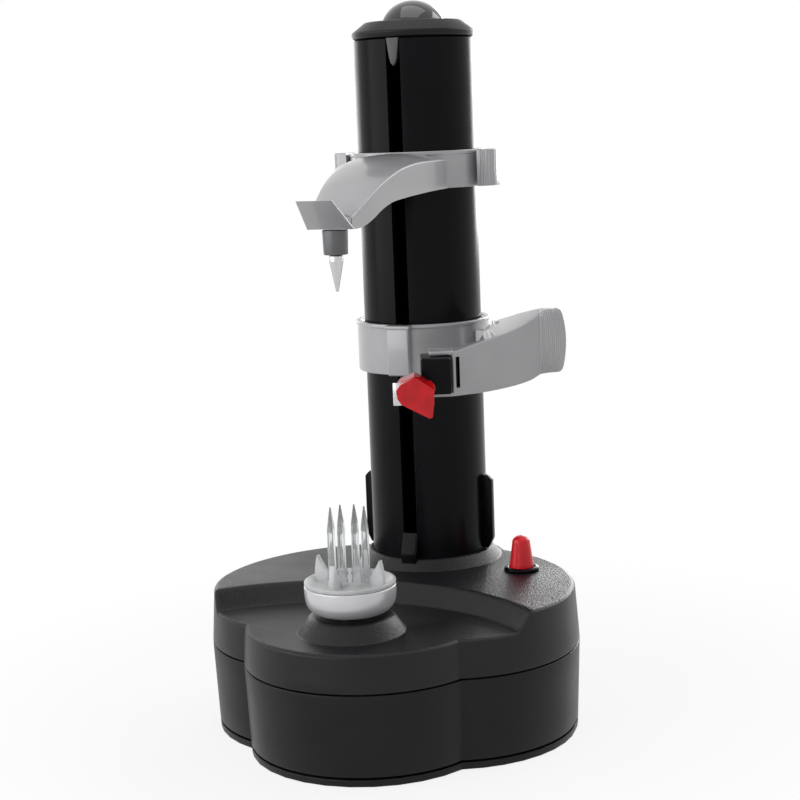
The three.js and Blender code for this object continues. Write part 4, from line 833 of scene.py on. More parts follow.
def slot_foot():
    """The foot of the slot: rounded below, and slanting back into the column above."""
    loops = []
    for k in range(FOOT_STEPS + 1):
        z = FOOT_START + (SLOT_BOTTOM - FOOT_START) * (k / FOOT_STEPS) ** FOOT_GROWTH
        rise = min(FOOT_HALF_WIDTH, z - FOOT_START + FOOT_TIP)
        half = math.sqrt(FOOT_HALF_WIDTH ** 2 - (FOOT_HALF_WIDTH - rise) ** 2)
        slant = max(0.0, (z - FOOT_BEND) / (SLOT_BOTTOM - FOOT_BEND))
        reach = FOOT_REACH + (FOOT_END - FOOT_REACH) * slant
        front = [(-half, -FOOT_ROOT), (-half, -reach), (half, -reach), (half, -FOOT_ROOT)]
        loops.append([(x, y, z) for x, y in rounded(front, FOOT_ROUNDING, 4, True)])
    return banded(loops)


add_piece("column_tube", *column_skin(), black_column, "base", ["column"])
add_piece("column_ribs", *merged(column_rib(1), column_rib(-1)), black_column, "base")
add_piece("slot_foot", *slot_foot(), black_column, "base")


# Cap and dome
CAP_FOOT = high("column").z + 0.3
CAP_RADIUS = high("column_cap").x
CAP_TOP = high("column_cap").z
CAP_TOP_RADIUS = 19.2
CAP_BAND = 2.4
CAP_BAND_FALL = 0.7
CAP_NECK = 8.0
CAP_ROUNDING = 0.8
CAP_NECK_RADII = (19.0, 21.2)
DOME_SINK = 0.2
DOME_STEPS = 24


def add_cap():
    cap = lathe([
        (0, CAP_FOOT - CAP_NECK), (CAP_NECK_RADII[0], CAP_FOOT - CAP_NECK), (CAP_NECK_RADII[1], CAP_FOOT),
        (CAP_RADIUS - CAP_BAND_FALL, CAP_FOOT), (CAP_RADIUS, CAP_FOOT + CAP_BAND), (CAP_TOP_RADIUS, CAP_TOP),
        (0, CAP_TOP),
    ], CAP_ROUNDING, 5, (0, 0), 160)
    add_piece("cap_body", *cap, black_shell, "base", ["column_cap"])
    foot = low("cap_dome").z
    rise = high("cap_dome").z - foot
    radius = high("cap_dome").x
    sphere = (radius * radius + rise * rise) / (2 * rise)
    half = math.asin(radius / sphere)
    dome = [(0, foot - DOME_SINK), (radius, foot - DOME_SINK)]
    for k in range(DOME_STEPS + 1):
        angle = half * (1 - k / DOME_STEPS)
        dome.append((sphere * math.sin(angle), foot + rise - sphere * (1 - math.cos(angle))))
    add_piece("dome_skin", *turned(dome, sides=128), black_gloss, "base", ["cap_dome"])


add_cap()
softened_node("slot_tongue", grey_plastic, "base", 0.3, 3)


# Lead screw, with its thread wound finely; the thread's shape is radius and share of the pitch
SCREW = (0, middle("lead_screw").y)
THREAD_PITCH = 4.3
THREAD_BOTTOM = 90.0
THREAD_TURNS = 27
THREAD_STEPS = 28
THREAD_RADIUS = 5.0
THREAD_EDGE_RADIUS = THREAD_RADIUS - 0.15
THREAD_ROOT = 3.4
THREAD_SHAPE = (
    (THREAD_ROOT, 0.0), (THREAD_ROOT, 0.34), (THREAD_EDGE_RADIUS, 0.53), (THREAD_RADIUS, 0.58),
    (THREAD_RADIUS, 0.73), (THREAD_EDGE_RADIUS, 0.78), (THREAD_ROOT, 1.0),
)
JOURNAL_RADIUS = 2.6


def add_lead_screw():
    points, faces = [], []
    for k in range(THREAD_TURNS * THREAD_STEPS + 1):
        turns = k / THREAD_STEPS
        for radius, share in THREAD_SHAPE:
            x, y = on_circle(SCREW, radius, 2 * math.pi * turns)
            points.append((x, y, THREAD_BOTTOM + THREAD_PITCH * (turns + share)))
    rows = len(THREAD_SHAPE)
    for k in range(THREAD_TURNS * THREAD_STEPS):
        for j in range(rows - 1):
            a = k * rows + j
            faces.append((a, a + rows, a + rows + 1, a + 1))
    foot = low("lead_screw").z
    top = high("lead_screw").z
    thread_top = THREAD_BOTTOM + THREAD_PITCH * (THREAD_TURNS + 1)
    core = turned([
        (0, foot), (JOURNAL_RADIUS, foot), (JOURNAL_RADIUS, THREAD_BOTTOM), (THREAD_ROOT, THREAD_BOTTOM),
        (THREAD_ROOT, thread_top), (JOURNAL_RADIUS, thread_top), (JOURNAL_RADIUS, top), (0, top),
    ], SCREW, 32)
    add_piece("screw_thread", *merged((points, faces), core), dark_steel, "screw", ["lead_screw"])


add_lead_screw()


# Collars, shared by the carriage and the upper arm
COLLAR_RADIUS = 27.5
COLLAR_BORE = 24.5
COLLAR_RIM = 1.7
COLLAR_RIM_FOOT = 1.4
COLLAR_STEP_WIDTH = 0.9
COLLAR_STEP_DEPTH = 0.8
COLLAR_ROUNDING = 0.45


def collar(z0, z1, recess):
    """A collar whose wall lies back below its rim, with a shallow step inside the rim."""
    wall = COLLAR_RADIUS - recess
    step = COLLAR_BORE + COLLAR_STEP_WIDTH
    seat = z1 - COLLAR_STEP_DEPTH
    profile = rounded([
        (COLLAR_BORE, z0), (wall, z0), (wall, z1 - COLLAR_RIM), (COLLAR_RADIUS, z1 - COLLAR_RIM_FOOT),
        (COLLAR_RADIUS, z1), (step, z1), (step, seat), (COLLAR_BORE, seat),
    ], COLLAR_ROUNDING, 5, True)
    return turned(profile + profile[:1], sides=144)


def cut_piece(obj, cutter):
    """Cuts a closed shape out of a piece."""
    tool = bpy.data.objects.new("cutter", solid_mesh("cutter", *cutter))
    bpy.context.collection.objects.link(tool)
    change = obj.modifiers.new("cut", "BOOLEAN")
    change.operation = "DIFFERENCE"
    change.solver = "MANIFOLD"
    change.object = tool
    apply_modifiers(obj)
    bpy.data.objects.remove(tool)


# Upper arm: arched hood, flared lip, boss and ears; the tables are shares along the hood
ARM_FOOT = low("upper_arm").z + 10.7
ARM_TOP = ARM_FOOT + 14.7
ARM_MIDDLE = (ARM_FOOT + ARM_TOP) / 2
ARM_RECESS = 0.35
HOOD_START = 18.0
HOOD_SEAT = 26.0
HOOD_END = 94.0
HOOD_ROOT_HALF = 19.4
HOOD_END_HALF = 8.7
HOOD_TOPS = (11.2, -6.2)
HOOD_UNDERS = (0.0, -10.7)
HOOD_CROWN = 3.4
HOOD_WALL = 2.0
HOOD_ROUNDING = 0.6
HOOD_FOOT_SHARE = 0.2
HOOD_STEPS = 64
HOOD_STATION_SHARES = (0, 0.16, 0.32, 0.48, 0.6, 0.7, 0.79, 0.87, 0.94, 1)
CREST_FALL_SHARES = (0, 0, 0.02, 0.11, 0.25, 0.4, 0.57, 0.74, 0.89, 1)
UNDERSIDE_FALL_SHARES = (0, 0.04, 0.1, 0.18, 0.27, 0.47, 0.74, 0.93, 1, 1)
CROWN_POWER = 2.4
CROWN_SIDES = 12
BEAK_START = 0.955
BEAK_STEPS = 3
BEAK_INSET = 0.06


def between(shares, values, at):
    """Reads a table of shares with a smooth curve through its points."""
    last = len(shares) - 1
    k = max(i for i in range(last) if shares[i] <= at or i == 0)
    x0, x1 = shares[k], shares[k + 1]
    y0, y1 = values[k], values[k + 1]
    slope0 = (y1 - values[k - 1]) / (x1 - shares[k - 1]) if k > 0 else (y1 - y0) / (x1 - x0)
    slope1 = (values[k + 2] - y0) / (shares[k + 2] - x0) if k + 2 <= last else (y1 - y0) / (x1 - x0)
    width = x1 - x0
    t = (at - x0) / width
    return (
        y0 * (2 * t ** 3 - 3 * t ** 2 + 1) + slope0 * width * (t ** 3 - 2 * t ** 2 + t)
        + y1 * (3 * t ** 2 - 2 * t ** 3) + slope1 * width * (t ** 3 - t ** 2)
    )


def straight(table, at):
    """Reads a table of places and values with straight lines between them."""
    for (x0, y0), (x1, y1) in zip(table, table[1:]):
        if at <= x1:
            return y0 + (y1 - y0) * (at - x0) / (x1 - x0)
    return table[-1][1]


def hood_height(ends, fall_shares, share):
    return ends[0] + between(HOOD_STATION_SHARES, fall_shares, share) * (ends[1] - ends[0])


def crown_height(half, across):
    """How far the crown stands over the hood's shoulders, at a share of the half width."""
    return HOOD_CROWN * half / HOOD_ROOT_HALF * (1 - abs(across) ** CROWN_POWER)


def hood_section(share, inset):
    """One cross-section of the hood, from its left foot over the crown to its right foot."""
    half = HOOD_ROOT_HALF + share * (HOOD_END_HALF - HOOD_ROOT_HALF) - inset
    top = hood_height(HOOD_TOPS, CREST_FALL_SHARES, share) - inset
    under = hood_height(HOOD_UNDERS, UNDERSIDE_FALL_SHARES, share) + HOOD_FOOT_SHARE * inset
    shape = [(-half, under), (-half, top)]
    for k in range(1, CROWN_SIDES):
        across = -1 + 2 * k / CROWN_SIDES
        shape.append((half * across, top + crown_height(half, across)))
    shape += [(half, top), (half, under)]
    soft = rounded(shape, FINE_EDGE if inset else HOOD_ROUNDING, 4)
    y = -(HOOD_START + share * (HOOD_END - HOOD_START))
    return [(x, min(y, -math.sqrt(HOOD_SEAT ** 2 - x * x)), ARM_FOOT + z) for x, z in soft]


def hood_skin():
    shares = [k / HOOD_STEPS for k in range(HOOD_STEPS + 1)]
    shell = banded([hood_section(share, 0.0)[::-1] + hood_section(share, HOOD_WALL) for share in shares])
    beak_shares = [BEAK_START + (1 - BEAK_START) * k / BEAK_STEPS for k in range(BEAK_STEPS + 1)]
    beak = banded([hood_section(share, BEAK_INSET)[::-1] for share in beak_shares])
    return merged(shell, beak)


LIP_FOOT = ARM_FOOT + HOOD_UNDERS[1]
LIP_TOP = ARM_FOOT + 0.3
LIP_REACH = 108.0
LIP_THICKNESS = 1.8
LIP_START = HOOD_END - HOOD_WALL + LIP_THICKNESS
LIP_TOP_HALF = 6.9
LIP_FOOT_HALF = 9.1
LIP_STEPS = 10


def lip_plate():
    """The flared lip: a slanting plate with rounded edges, narrower at its top."""
    loops = []
    for k in range(LIP_STEPS + 1):
        share = k / LIP_STEPS
        half = LIP_FOOT_HALF + (LIP_TOP_HALF - LIP_FOOT_HALF) * share
        front = -LIP_START - (LIP_REACH - LIP_START) * share
        z = LIP_FOOT + (LIP_TOP - LIP_FOOT) * share
        outline = rectangle(-half, half, front, front + LIP_THICKNESS, SOFT_EDGE, 4)
        loops.append([(x, y, z) for x, y in outline])
    return banded(loops)


WEB_START = HOOD_END - 1.2
WEB_FOOT = 0.15
WEB_HALF = HOOD_END_HALF - 0.05
WEB_LIP_HALF = 8.1
WEB_DROP = 0.02
WEB_SIDES = 24


def valley_web():
    """The web that carries the hood's crown on to the back of the lip."""
    rise = HOOD_TOPS[1] - HOOD_UNDERS[1] - WEB_DROP
    back = LIP_START - LIP_THICKNESS / 2
    slant = (LIP_REACH - LIP_START) / (LIP_TOP - LIP_FOOT)
    loops = []
    for k in range(WEB_SIDES + 1):
        across = -1 + 2 * k / WEB_SIDES
        top = rise + crown_height(HOOD_END_HALF, across)
        loops.append([
            (half * across, -reach, LIP_FOOT + z) for half, reach, z in (
                (WEB_HALF, WEB_START, WEB_FOOT), (WEB_HALF, WEB_START, top),
                (WEB_LIP_HALF, back + slant * top, top), (WEB_LIP_HALF, back + slant * WEB_FOOT, WEB_FOOT),
            )
        ])
    return banded(loops)


BOSS_BORE = 3.4
BOSS_RADIUS = 4.3
BOSS_HEIGHT = 6.0
EAR_ROOT = 24.8
EAR_REACH = 33.2
EAR_FRONT = 5.3
EAR_BACK = 6.9
STEM_FRONT = -4.4
STEM_BACK = -0.8
STEM_HALF = 3.4
WINDOW_INNER = 23.5
WINDOW_OUTER = 29.0
WINDOW_GAP = 0.4


def either_side(side, inner, outer):
    """A range of x on the right (1) or on the left (-1)."""
    return sorted((side * inner, side * outer))


def add_upper_arm():
    boss = lathe(tube(BOSS_BORE, BOSS_RADIUS, LIP_FOOT, LIP_FOOT + BOSS_HEIGHT), FINE_EDGE, 3, SPINDLE, 48)
    parts = [hood_skin(), lip_plate(), valley_web(), boss]
    for side in (1, -1):
        across = either_side(side, EAR_ROOT, EAR_REACH)
        heights = (ARM_FOOT + SMALL_EDGE, ARM_TOP - SMALL_EDGE)
        parts.append(block(*across, EAR_FRONT, EAR_BACK, *heights, SMALL_EDGE))
    add_piece("arm_body", *merged(*parts), silver_paint, "arm", ["upper_arm"])
    ring = add_piece("arm_collar", *collar(ARM_FOOT, ARM_TOP, ARM_RECESS), silver_paint, "arm")
    half = STEM_HALF + WINDOW_GAP
    depths = (STEM_FRONT - WINDOW_GAP, STEM_BACK + WINDOW_GAP)
    for side in (1, -1):
        across = either_side(side, WINDOW_INNER, WINDOW_OUTER)
        cut_piece(ring, block(*across, *depths, ARM_MIDDLE - half, ARM_MIDDLE + half, FINE_EDGE))


add_upper_arm()


# Release tabs
TAB_FRONT = -8.0
TAB_BACK = 4.8
TAB_REACH = 34.8
TAB_END_RADIUS = 4.5
TAB_SEAT = 29.2
TAB_GAP = 0.1
TAB_EDGE = 0.45
TAB_RIBS = 6
TAB_RIB_START = 1.3
TAB_RIB_PITCH = 1.1
TAB_RIB_DEPTH = 0.22
TAB_STEPS = 60
TAB_SEAT_STEPS = 25
STEM_OVERLAP = 2.0


def tab_inner(y):
    """The tab's inner face, which follows the collar at a distance."""
    return TAB_SEAT - COLLAR_RADIUS + math.sqrt(COLLAR_RADIUS ** 2 - y * y)


def tab_rib(side, along):
    """How far the right tab's ribbed face stands out at a length along it."""
    turns = (along - TAB_RIB_START) / TAB_RIB_PITCH
    if side < 0 or turns <= 0 or turns >= TAB_RIBS:
        return 0.0
    return TAB_RIB_DEPTH * (0.5 - 0.5 * math.cos(2 * math.pi * turns))


def release_tab(side):
    """A tab with a rounded end and a stem into the collar; the right one has a ribbed face."""
    start = tab_inner(TAB_FRONT)
    centre = TAB_REACH - TAB_END_RADIUS
    flat = centre - start
    outline = []
    for k in range(TAB_STEPS):
        along = flat * k / TAB_STEPS
        outline.append((start + along, TAB_FRONT - tab_rib(side, along)))
    for k in range(TAB_STEPS + 1):
        turn = math.pi / 2 * k / TAB_STEPS
        out = TAB_END_RADIUS + tab_rib(side, flat + TAB_END_RADIUS * turn)
        outline.append(on_circle((centre, TAB_FRONT + TAB_END_RADIUS), out, turn - math.pi / 2))
    for k in range(TAB_STEPS + 1):
        turn = math.pi / 2 * k / TAB_STEPS
        outline.append(on_circle((centre, TAB_BACK - TAB_END_RADIUS), TAB_END_RADIUS, turn))
    for k in range(TAB_SEAT_STEPS):
        y = TAB_BACK + (TAB_FRONT - TAB_BACK) * k / TAB_SEAT_STEPS
        outline.append((tab_inner(y), y))
    body = prism(outline, ARM_FOOT + TAB_GAP, ARM_TOP - TAB_GAP, TAB_EDGE, 4)
    stem = block(
        low("release_tab_right").x, TAB_SEAT + STEM_OVERLAP, STEM_FRONT, STEM_BACK,
        ARM_MIDDLE - STEM_HALF, ARM_MIDDLE + STEM_HALF, FINE_EDGE,
    )
    return moved(merged(body, stem), Matrix.Diagonal((side, 1, 1, 1)))


for side_name, side in (("right", 1), ("left", -1)):
    tab_name = "release_tab_" + side_name
    add_piece(tab_name + "_body", *release_tab(side), silver_paint, "tab_" + side_name, [tab_name])


# Socket and holder pin
SOCKET_BORE = 1.9
SOCKET_FOOT_RADIUS = 4.45
SOCKET_TOP_RADIUS = 4.75
SOCKET_GAP = 0.3
PIN_POINT_RADIUS = 0.5
PIN_RADIUS = 2.6
PIN_SHOULDER = 2.2
PIN_NECK_RADIUS = 1.6
PIN_NECK_LENGTH = 9.0


def add_socket():
    top = low("upper_arm").z - SOCKET_GAP
    foot = low("upper_socket").z
    body = lathe([
        (SOCKET_BORE, foot), (SOCKET_FOOT_RADIUS, foot), (SOCKET_TOP_RADIUS, top), (SOCKET_BORE, top),
        (SOCKET_BORE, foot),
    ], SOFT_EDGE, 4, SPINDLE, 64)
    add_piece("socket_body", *body, socket_grey, "arm", ["upper_socket"])
    tip = low("holder_pin").z
    neck = foot - SOCKET_GAP
    pin = lathe([
        (0, tip), (PIN_POINT_RADIUS, tip), (PIN_RADIUS, neck - PIN_SHOULDER), (PIN_RADIUS, neck),
        (PIN_NECK_RADIUS, neck), (PIN_NECK_RADIUS, neck + PIN_NECK_LENGTH), (0, neck + PIN_NECK_LENGTH),
    ], FINE_EDGE, 4, SPINDLE, 48)
    add_piece("pin_body", *pin, steel, "pin", ["holder_pin"])


add_socket()


# Carriage: collar, nut housing with its rim, and hinge lug
CARRIAGE_FOOT = low("carriage").z
CARRIAGE_TOP = high("carriage").z
CARRIAGE_RECESS = 0.5
HOUSING_HALF = 4.6
HOUSING_REACH = 30.5
HOUSING_ROOT = COLLAR_BORE + 0.6
HOUSING_DROP = 0.4
HOUSING_EDGE = 0.9
RIM_OVERHANG = 0.5
RIM_REACH = HOUSING_REACH + 0.4
RIM_ROOT = COLLAR_BORE + 1.4
RIM_DEPTH = 1.6
LUG_RISE = 1.3
LUG_HEIGHT = 15.0
LUG_BORE = 2.0
LUG_RADIUS = 4.7
LUG_WEB_ROOT = COLLAR_BORE + 1
LUG_WEB_END = 2.2
LUG_WEB_FRONT = 1.2
LUG_WEB_BACK = 3.0


def add_carriage():
    pin = middle("hinge_pin")
    foot = CARRIAGE_FOOT + LUG_RISE
    top = foot + LUG_HEIGHT
    parts = merged(
        collar(CARRIAGE_FOOT, CARRIAGE_TOP, CARRIAGE_RECESS),
        block(
            -HOUSING_HALF, HOUSING_HALF, -HOUSING_REACH, -HOUSING_ROOT,
            CARRIAGE_FOOT, CARRIAGE_TOP - HOUSING_DROP, HOUSING_EDGE,
        ),
        block(
            -HOUSING_HALF - RIM_OVERHANG, HOUSING_HALF + RIM_OVERHANG, -RIM_REACH, -RIM_ROOT,
            CARRIAGE_TOP - RIM_DEPTH, CARRIAGE_TOP, SMALL_EDGE,
        ),
        lathe(tube(LUG_BORE, LUG_RADIUS, foot, top), SMALL_EDGE, 4, (pin.x, pin.y), 48),
        block(
            LUG_WEB_ROOT, pin.x - LUG_WEB_END, pin.y - LUG_WEB_FRONT, pin.y + LUG_WEB_BACK, foot, top,
            FINE_EDGE,
        ),
    )
    add_piece("carriage_body", *parts, silver_paint, "carriage_unit", ["carriage"])


add_carriage()


# Peeling lever, in its own frame: x along its face, y towards the column, z from the carriage's foot
LEVER_TURN = Matrix.Rotation(math.radians(21), 4, "Z")
LEVER_FACE = ((1.2, -62.0), (9.4, -62.0), (44.0, -45.0), (55.0, -45.0))
LEVER_BACK = (
    (1.2, -51.0), (9.4, -51.0), (11.5, -54.6), (20.3, -52.0), (22.4, -42.0), (24.0, -28.0), (25.4, -20.5),
    (27.2, -16.6), (29.2, -15.0), (31.5, -15.3), (33.9, -20.7), (38.0, -27.6), (44.0, -37.0), (52.2, -39.5),
)
LEVER_TOP_ALONG = (1.2, 9.4, 19.9, 29.2, 37.9, 44.0, 47.0, 53.0)
LEVER_TOP_FRONT = (14.8, 13.6, 16.0, 18.3, 21.2, 24.4, 26.2, 26.9)
LEVER_TOP_BACK = (
    (1.2, 14.8), (9.4, 14.2), (19.9, 16.2), (22.4, 17.5), (24.0, 17.9), (25.4, 18.1), (27.2, 19.0),
    (29.2, 19.6), (31.5, 20.3), (33.9, 21.6), (35.7, 22.5), (38.0, 23.7), (40.0, 24.5), (44.0, 26.2),
    (47.0, 26.6), (53.0, 26.6),
)
LEVER_FOOT_ALONG = (1.2, 9.4, 22.0, 28.6, 35.3, 40.7, 44.8, 53.0)
LEVER_FOOT = (-3.6, -3.55, -3.3, -2.8, -1.9, -0.6, 1.2, 1.8)
LEVER_START = 9.4
LEVER_END = 44.0
LEVER_STEPS = 240
LEVER_EDGE = 0.6
LEVER_ROUNDING = 0.7
FLANGE = 1.7
FOOT_FLANGE = 1.1
FACE_WALL = 1.8


def lever_heights(along):
    """The lever's top at its face, its top at its back, and its foot."""
    return (
        between(LEVER_TOP_ALONG, LEVER_TOP_FRONT, along), straight(LEVER_TOP_BACK, along),
        between(LEVER_FOOT_ALONG, LEVER_FOOT, along),
    )


def lever_section(along):
    """The channel at one place: face, top flange that rises to the back, and foot flange."""
    face = straight(LEVER_FACE, along)
    back = straight(LEVER_BACK, along)
    front_top, back_top, foot = lever_heights(along)
    return rounded([
        (back, back_top), (face, front_top), (face, foot), (back, foot), (back, foot + FOOT_FLANGE),
        (face + FACE_WALL, foot + FOOT_FLANGE), (face + FACE_WALL, front_top - FLANGE),
        (back, back_top - FLANGE),
    ], LEVER_ROUNDING, 4, True)


def lever_place(along, section):
    return [tuple(LEVER_TURN @ Vector((along, y, CARRIAGE_FOOT + z))) for y, z in section]


def lever_channel():
    start = lever_section(LEVER_START + LEVER_EDGE)
    loops = [
        lever_place(LEVER_START + along, drawn_in(start, inset)) for along, inset in rim_steps(LEVER_EDGE, 4)
    ]
    for k in range(LEVER_STEPS + 1):
        along = LEVER_START + (LEVER_END - LEVER_START) * k / LEVER_STEPS
        if along > LEVER_START + LEVER_EDGE:
            loops.append(lever_place(along, lever_section(along)))
    return banded(loops)


GRIP_START = 43.0
GRIP_END = 54.7
GRIP_STEPS = 200
GRIP_CROWDING = 1.5
GRIP_ROUNDING = 1.8
GRIP_TABLE_END = 53.0
GRIP_BACK_END = 52.2
GRIP_FACE_DEPTH = 0.3
GRIP_CORNER = 1.0
GRIP_CORNER_STEPS = 4
GRIP_LINE_STEPS = 8
GRIP_RIB_START = 45.0
GRIP_RIB_END = GRIP_END - 1.4
GRIP_RIBS = 11
GRIP_RIB_DEPTH = 0.2
GRIP_BULGE = 1.8


def grip_section(along):
    """The thumb rest at one place, with points up its face so that it can bulge."""
    close = max(0.0, (along - (GRIP_END - GRIP_ROUNDING)) / GRIP_ROUNDING)
    shrink = GRIP_ROUNDING * (1 - math.sqrt(max(0.0, 1 - close * close)))
    top, back_top, foot = lever_heights(min(along, GRIP_TABLE_END))
    face = straight(LEVER_FACE, along)
    back = max(face + FACE_WALL, straight(LEVER_BACK, min(along, GRIP_BACK_END))) - shrink / 2
    rib = 0.0
    if along > GRIP_RIB_START:
        turns = min(GRIP_RIBS, (along - GRIP_RIB_START) / (GRIP_RIB_END - GRIP_RIB_START) * GRIP_RIBS)
        rib = GRIP_RIB_DEPTH * (0.5 - 0.5 * math.cos(2 * math.pi * turns))
    front = face + GRIP_FACE_DEPTH - rib + shrink / 2
    section = rounded([
        (back, back_top - shrink), (front, top - shrink), (front, foot + shrink), (back, foot + shrink),
    ], GRIP_CORNER, GRIP_CORNER_STEPS, True)
    dense = []
    for j, (y, z) in enumerate(section):
        next_y, next_z = section[(j + 1) % len(section)]
        steps = 1 if (j + 1) % (GRIP_CORNER_STEPS + 1) else GRIP_LINE_STEPS
        dense += [(y + (next_y - y) * k / steps, z + (next_z - z) * k / steps) for k in range(steps)]
    return dense, (top + foot) / 2, (top - foot) / 2


def lever_grip():
    """The thumb rest: a solid end with fine upright ribs on its face and a bulging end."""
    loops = []
    for k in range(GRIP_STEPS + 1):
        share = 1 - (1 - k / GRIP_STEPS) ** GRIP_CROWDING
        along = GRIP_START + (GRIP_END - GRIP_START) * share
        section, centre, half = grip_section(along)
        loop = []
        for y, z in section:
            bulge = GRIP_BULGE * share * min(1.0, abs((z - centre) / half)) ** 2
            loop += lever_place(along - bulge, [(y, z)])
        loops.append(loop)
    return banded(loops)


FORK = (0.9, 9.9, -62.2, -51.0)
FORK_CORNER = 0.6
FORK_FLANGES = ((12.5, 14.0), (-3.5, -2.0))
FACE_SLOT = (10.9, 12.4, -64.0, -58.0)
FACE_SLOT_HEIGHTS = (-0.4, 11.6)


def lever_block(sides, heights, corner, edge, steps=3):
    """A block in the lever's frame, with rounded corners and rounded rims."""
    z0, z1 = (CARRIAGE_FOOT + height for height in heights)
    return moved(prism(rectangle(*sides, corner, steps), z0, z1, edge, steps), LEVER_TURN)


def add_lever():
    channel = add_piece("lever_channel", *lever_channel(), silver_paint, "lever", ["peel_lever"])
    cut_piece(channel, lever_block(FACE_SLOT, FACE_SLOT_HEIGHTS, FINE_EDGE, FINE_EDGE))
    flanges = [lever_block(FORK, heights, FORK_CORNER, SMALL_EDGE) for heights in FORK_FLANGES]
    add_piece("lever_grip", *merged(lever_grip(), *flanges), silver_paint, "lever")


BLOCK_HEAD = (-2.5, 8.9, -68.4, -51.3)
BLOCK_HEAD_HEIGHTS = (-1.6, 12.1)
BLOCK_CORNER = 0.9
BLOCK_EDGE = 0.8
BLOCK_TAIL = (8.0, 12.8, -56.0, -51.3)
BLOCK_TAIL_HEIGHTS = (-0.6, 11.1)


def add_blade_block():
    """The block's head stands in front of the fork; its tail lies behind the face."""
    head = lever_block(BLOCK_HEAD, BLOCK_HEAD_HEIGHTS, BLOCK_CORNER, BLOCK_EDGE, 4)
    tail = lever_block(BLOCK_TAIL, BLOCK_TAIL_HEIGHTS, SMALL_EDGE, SMALL_EDGE)
    add_piece("block_body", *merged(head, tail), black_column, "lever", ["blade_block"])


add_lever()
add_blade_block()
softened_node("blade_holder", red_clear, "blade", 0.9, 5)
softened_node("peel_blade", steel, "blade", 0.12, 2)


# Spindle cup: a satin bowl, under the insert's flange
CUP_FOOT = low("spindle_cup").z
CUP_RIM = high("spindle_cup").z
CUP_METAL_TOP = CUP_RIM - 1.7
CUP_RADIUS = high("spindle_cup").x
CUP_BOWL = ((0, 0), (11.0, 0), (14.2, 0.9), (16.6, 3.4), (17.3, 7.0))
CUP_FLOOR = CUP_METAL_TOP - 1.0
CUP_WALL = 1.2
CUP_FLOOR_INSET = 1.6
CUP_ROUNDING = 2.2


def add_cup():
    bowl = [(radius, CUP_FOOT + rise) for radius, rise in CUP_BOWL]
    bowl += [
        (CUP_RADIUS, CUP_METAL_TOP), (CUP_RADIUS - CUP_WALL, CUP_METAL_TOP),
        (CUP_RADIUS - CUP_FLOOR_INSET, CUP_FLOOR), (0, CUP_FLOOR),
    ]
    cup = lathe(bowl, CUP_ROUNDING, 8, SPINDLE, 144)
    add_piece("cup_body", *cup, satin_silver, "spindle", ["spindle_cup"])


# Prong insert: tall tines on flared roots, four pointed fins and a flange over the cup
INSERT_FOOT = low("prong_insert").z
TINE_COUNT = 8
TINE_CIRCLE = 6.8
TINE_TOP = high("prong_insert").z
TINE_TAPER = 8.0
TINE_SHAPE = ((0, 0.6), (3.0, 0.6), (1.9, 4.0), (1.5, 8.0))
TINE_RADIUS = 1.45
TINE_TIP_RADIUS = 0.25
TINE_ROUNDING = 1.2
FIN_COUNT = 4
FIN_TURN = -0.1
FIN_TIP = 78.2
FIN_REACH = 14.5
FIN_TIP_REACH = FIN_REACH - 1.1
FIN_TIP_WIDTH = 0.5
FIN_ROOT = TINE_CIRCLE + 1.2
FIN_FOOT = INSERT_FOOT + 0.2
FIN_HALF = 1.1
FIN_STEPS = 10
FIN_EDGE = 0.25
FIN_OUTER_FOOT = INSERT_FOOT + 1.5
FIN_OUTER_RISE = FIN_TIP - INSERT_FOOT - 1.9
FIN_INNER_TOP = FIN_TIP - 0.2
FIN_INNER_FALL = FIN_TIP - INSERT_FOOT - 4.0
FIN_INNER_POWER = 0.85
FIN_POINT = 0.1
FLANGE_ROUNDING = 0.7
FLANGE_PROFILE = (
    (0, CUP_METAL_TOP - 0.8), (CUP_RADIUS - 1.9, CUP_METAL_TOP - 0.8),
    (CUP_RADIUS - 1.5, CUP_METAL_TOP + 0.1), (CUP_RADIUS - 0.1, CUP_METAL_TOP + 0.15),
    (CUP_RADIUS - 0.1, CUP_RIM), (CUP_RADIUS - 1.2, CUP_RIM), (13.6, CUP_RIM - 1.5), (9.4, CUP_RIM - 1.3),
    (7.6, CUP_RIM - 0.1), (0, CUP_RIM - 0.1),
)


def tine(angle):
    x, y = on_circle(SPINDLE, TINE_CIRCLE, angle)
    profile = [(radius, INSERT_FOOT + rise) for radius, rise in TINE_SHAPE]
    profile += [(TINE_RADIUS, TINE_TOP - TINE_TAPER), (TINE_TIP_RADIUS, TINE_TOP), (0, TINE_TOP)]
    return lathe(profile, TINE_ROUNDING, 4, (x, y), 28)


def fin(angle):
    """A fin that rises to a point over the cup's rim, and slants down to the tines."""
    outline = [(FIN_ROOT, FIN_FOOT), (FIN_REACH, FIN_FOOT)]
    for k in range(FIN_STEPS):
        t = k / FIN_STEPS
        x = FIN_REACH + (FIN_TIP_REACH - FIN_REACH) * t * t
        outline.append((x, FIN_OUTER_FOOT + FIN_OUTER_RISE * t))
    outline.append((FIN_TIP_REACH - FIN_POINT, FIN_TIP - FIN_POINT))
    inner_tip = FIN_TIP_REACH - FIN_TIP_WIDTH
    for k in range(FIN_STEPS + 1):
        t = k / FIN_STEPS
        fall = FIN_INNER_FALL * t ** FIN_INNER_POWER
        outline.append((inner_tip + (FIN_ROOT - inner_tip) * t, FIN_INNER_TOP - fall))
    plate = upright_plate(outline, -FIN_HALF, FIN_HALF, FIN_EDGE)
    return moved(plate, Matrix.Translation((*SPINDLE, 0)) @ Matrix.Rotation(angle, 4, "Z"))


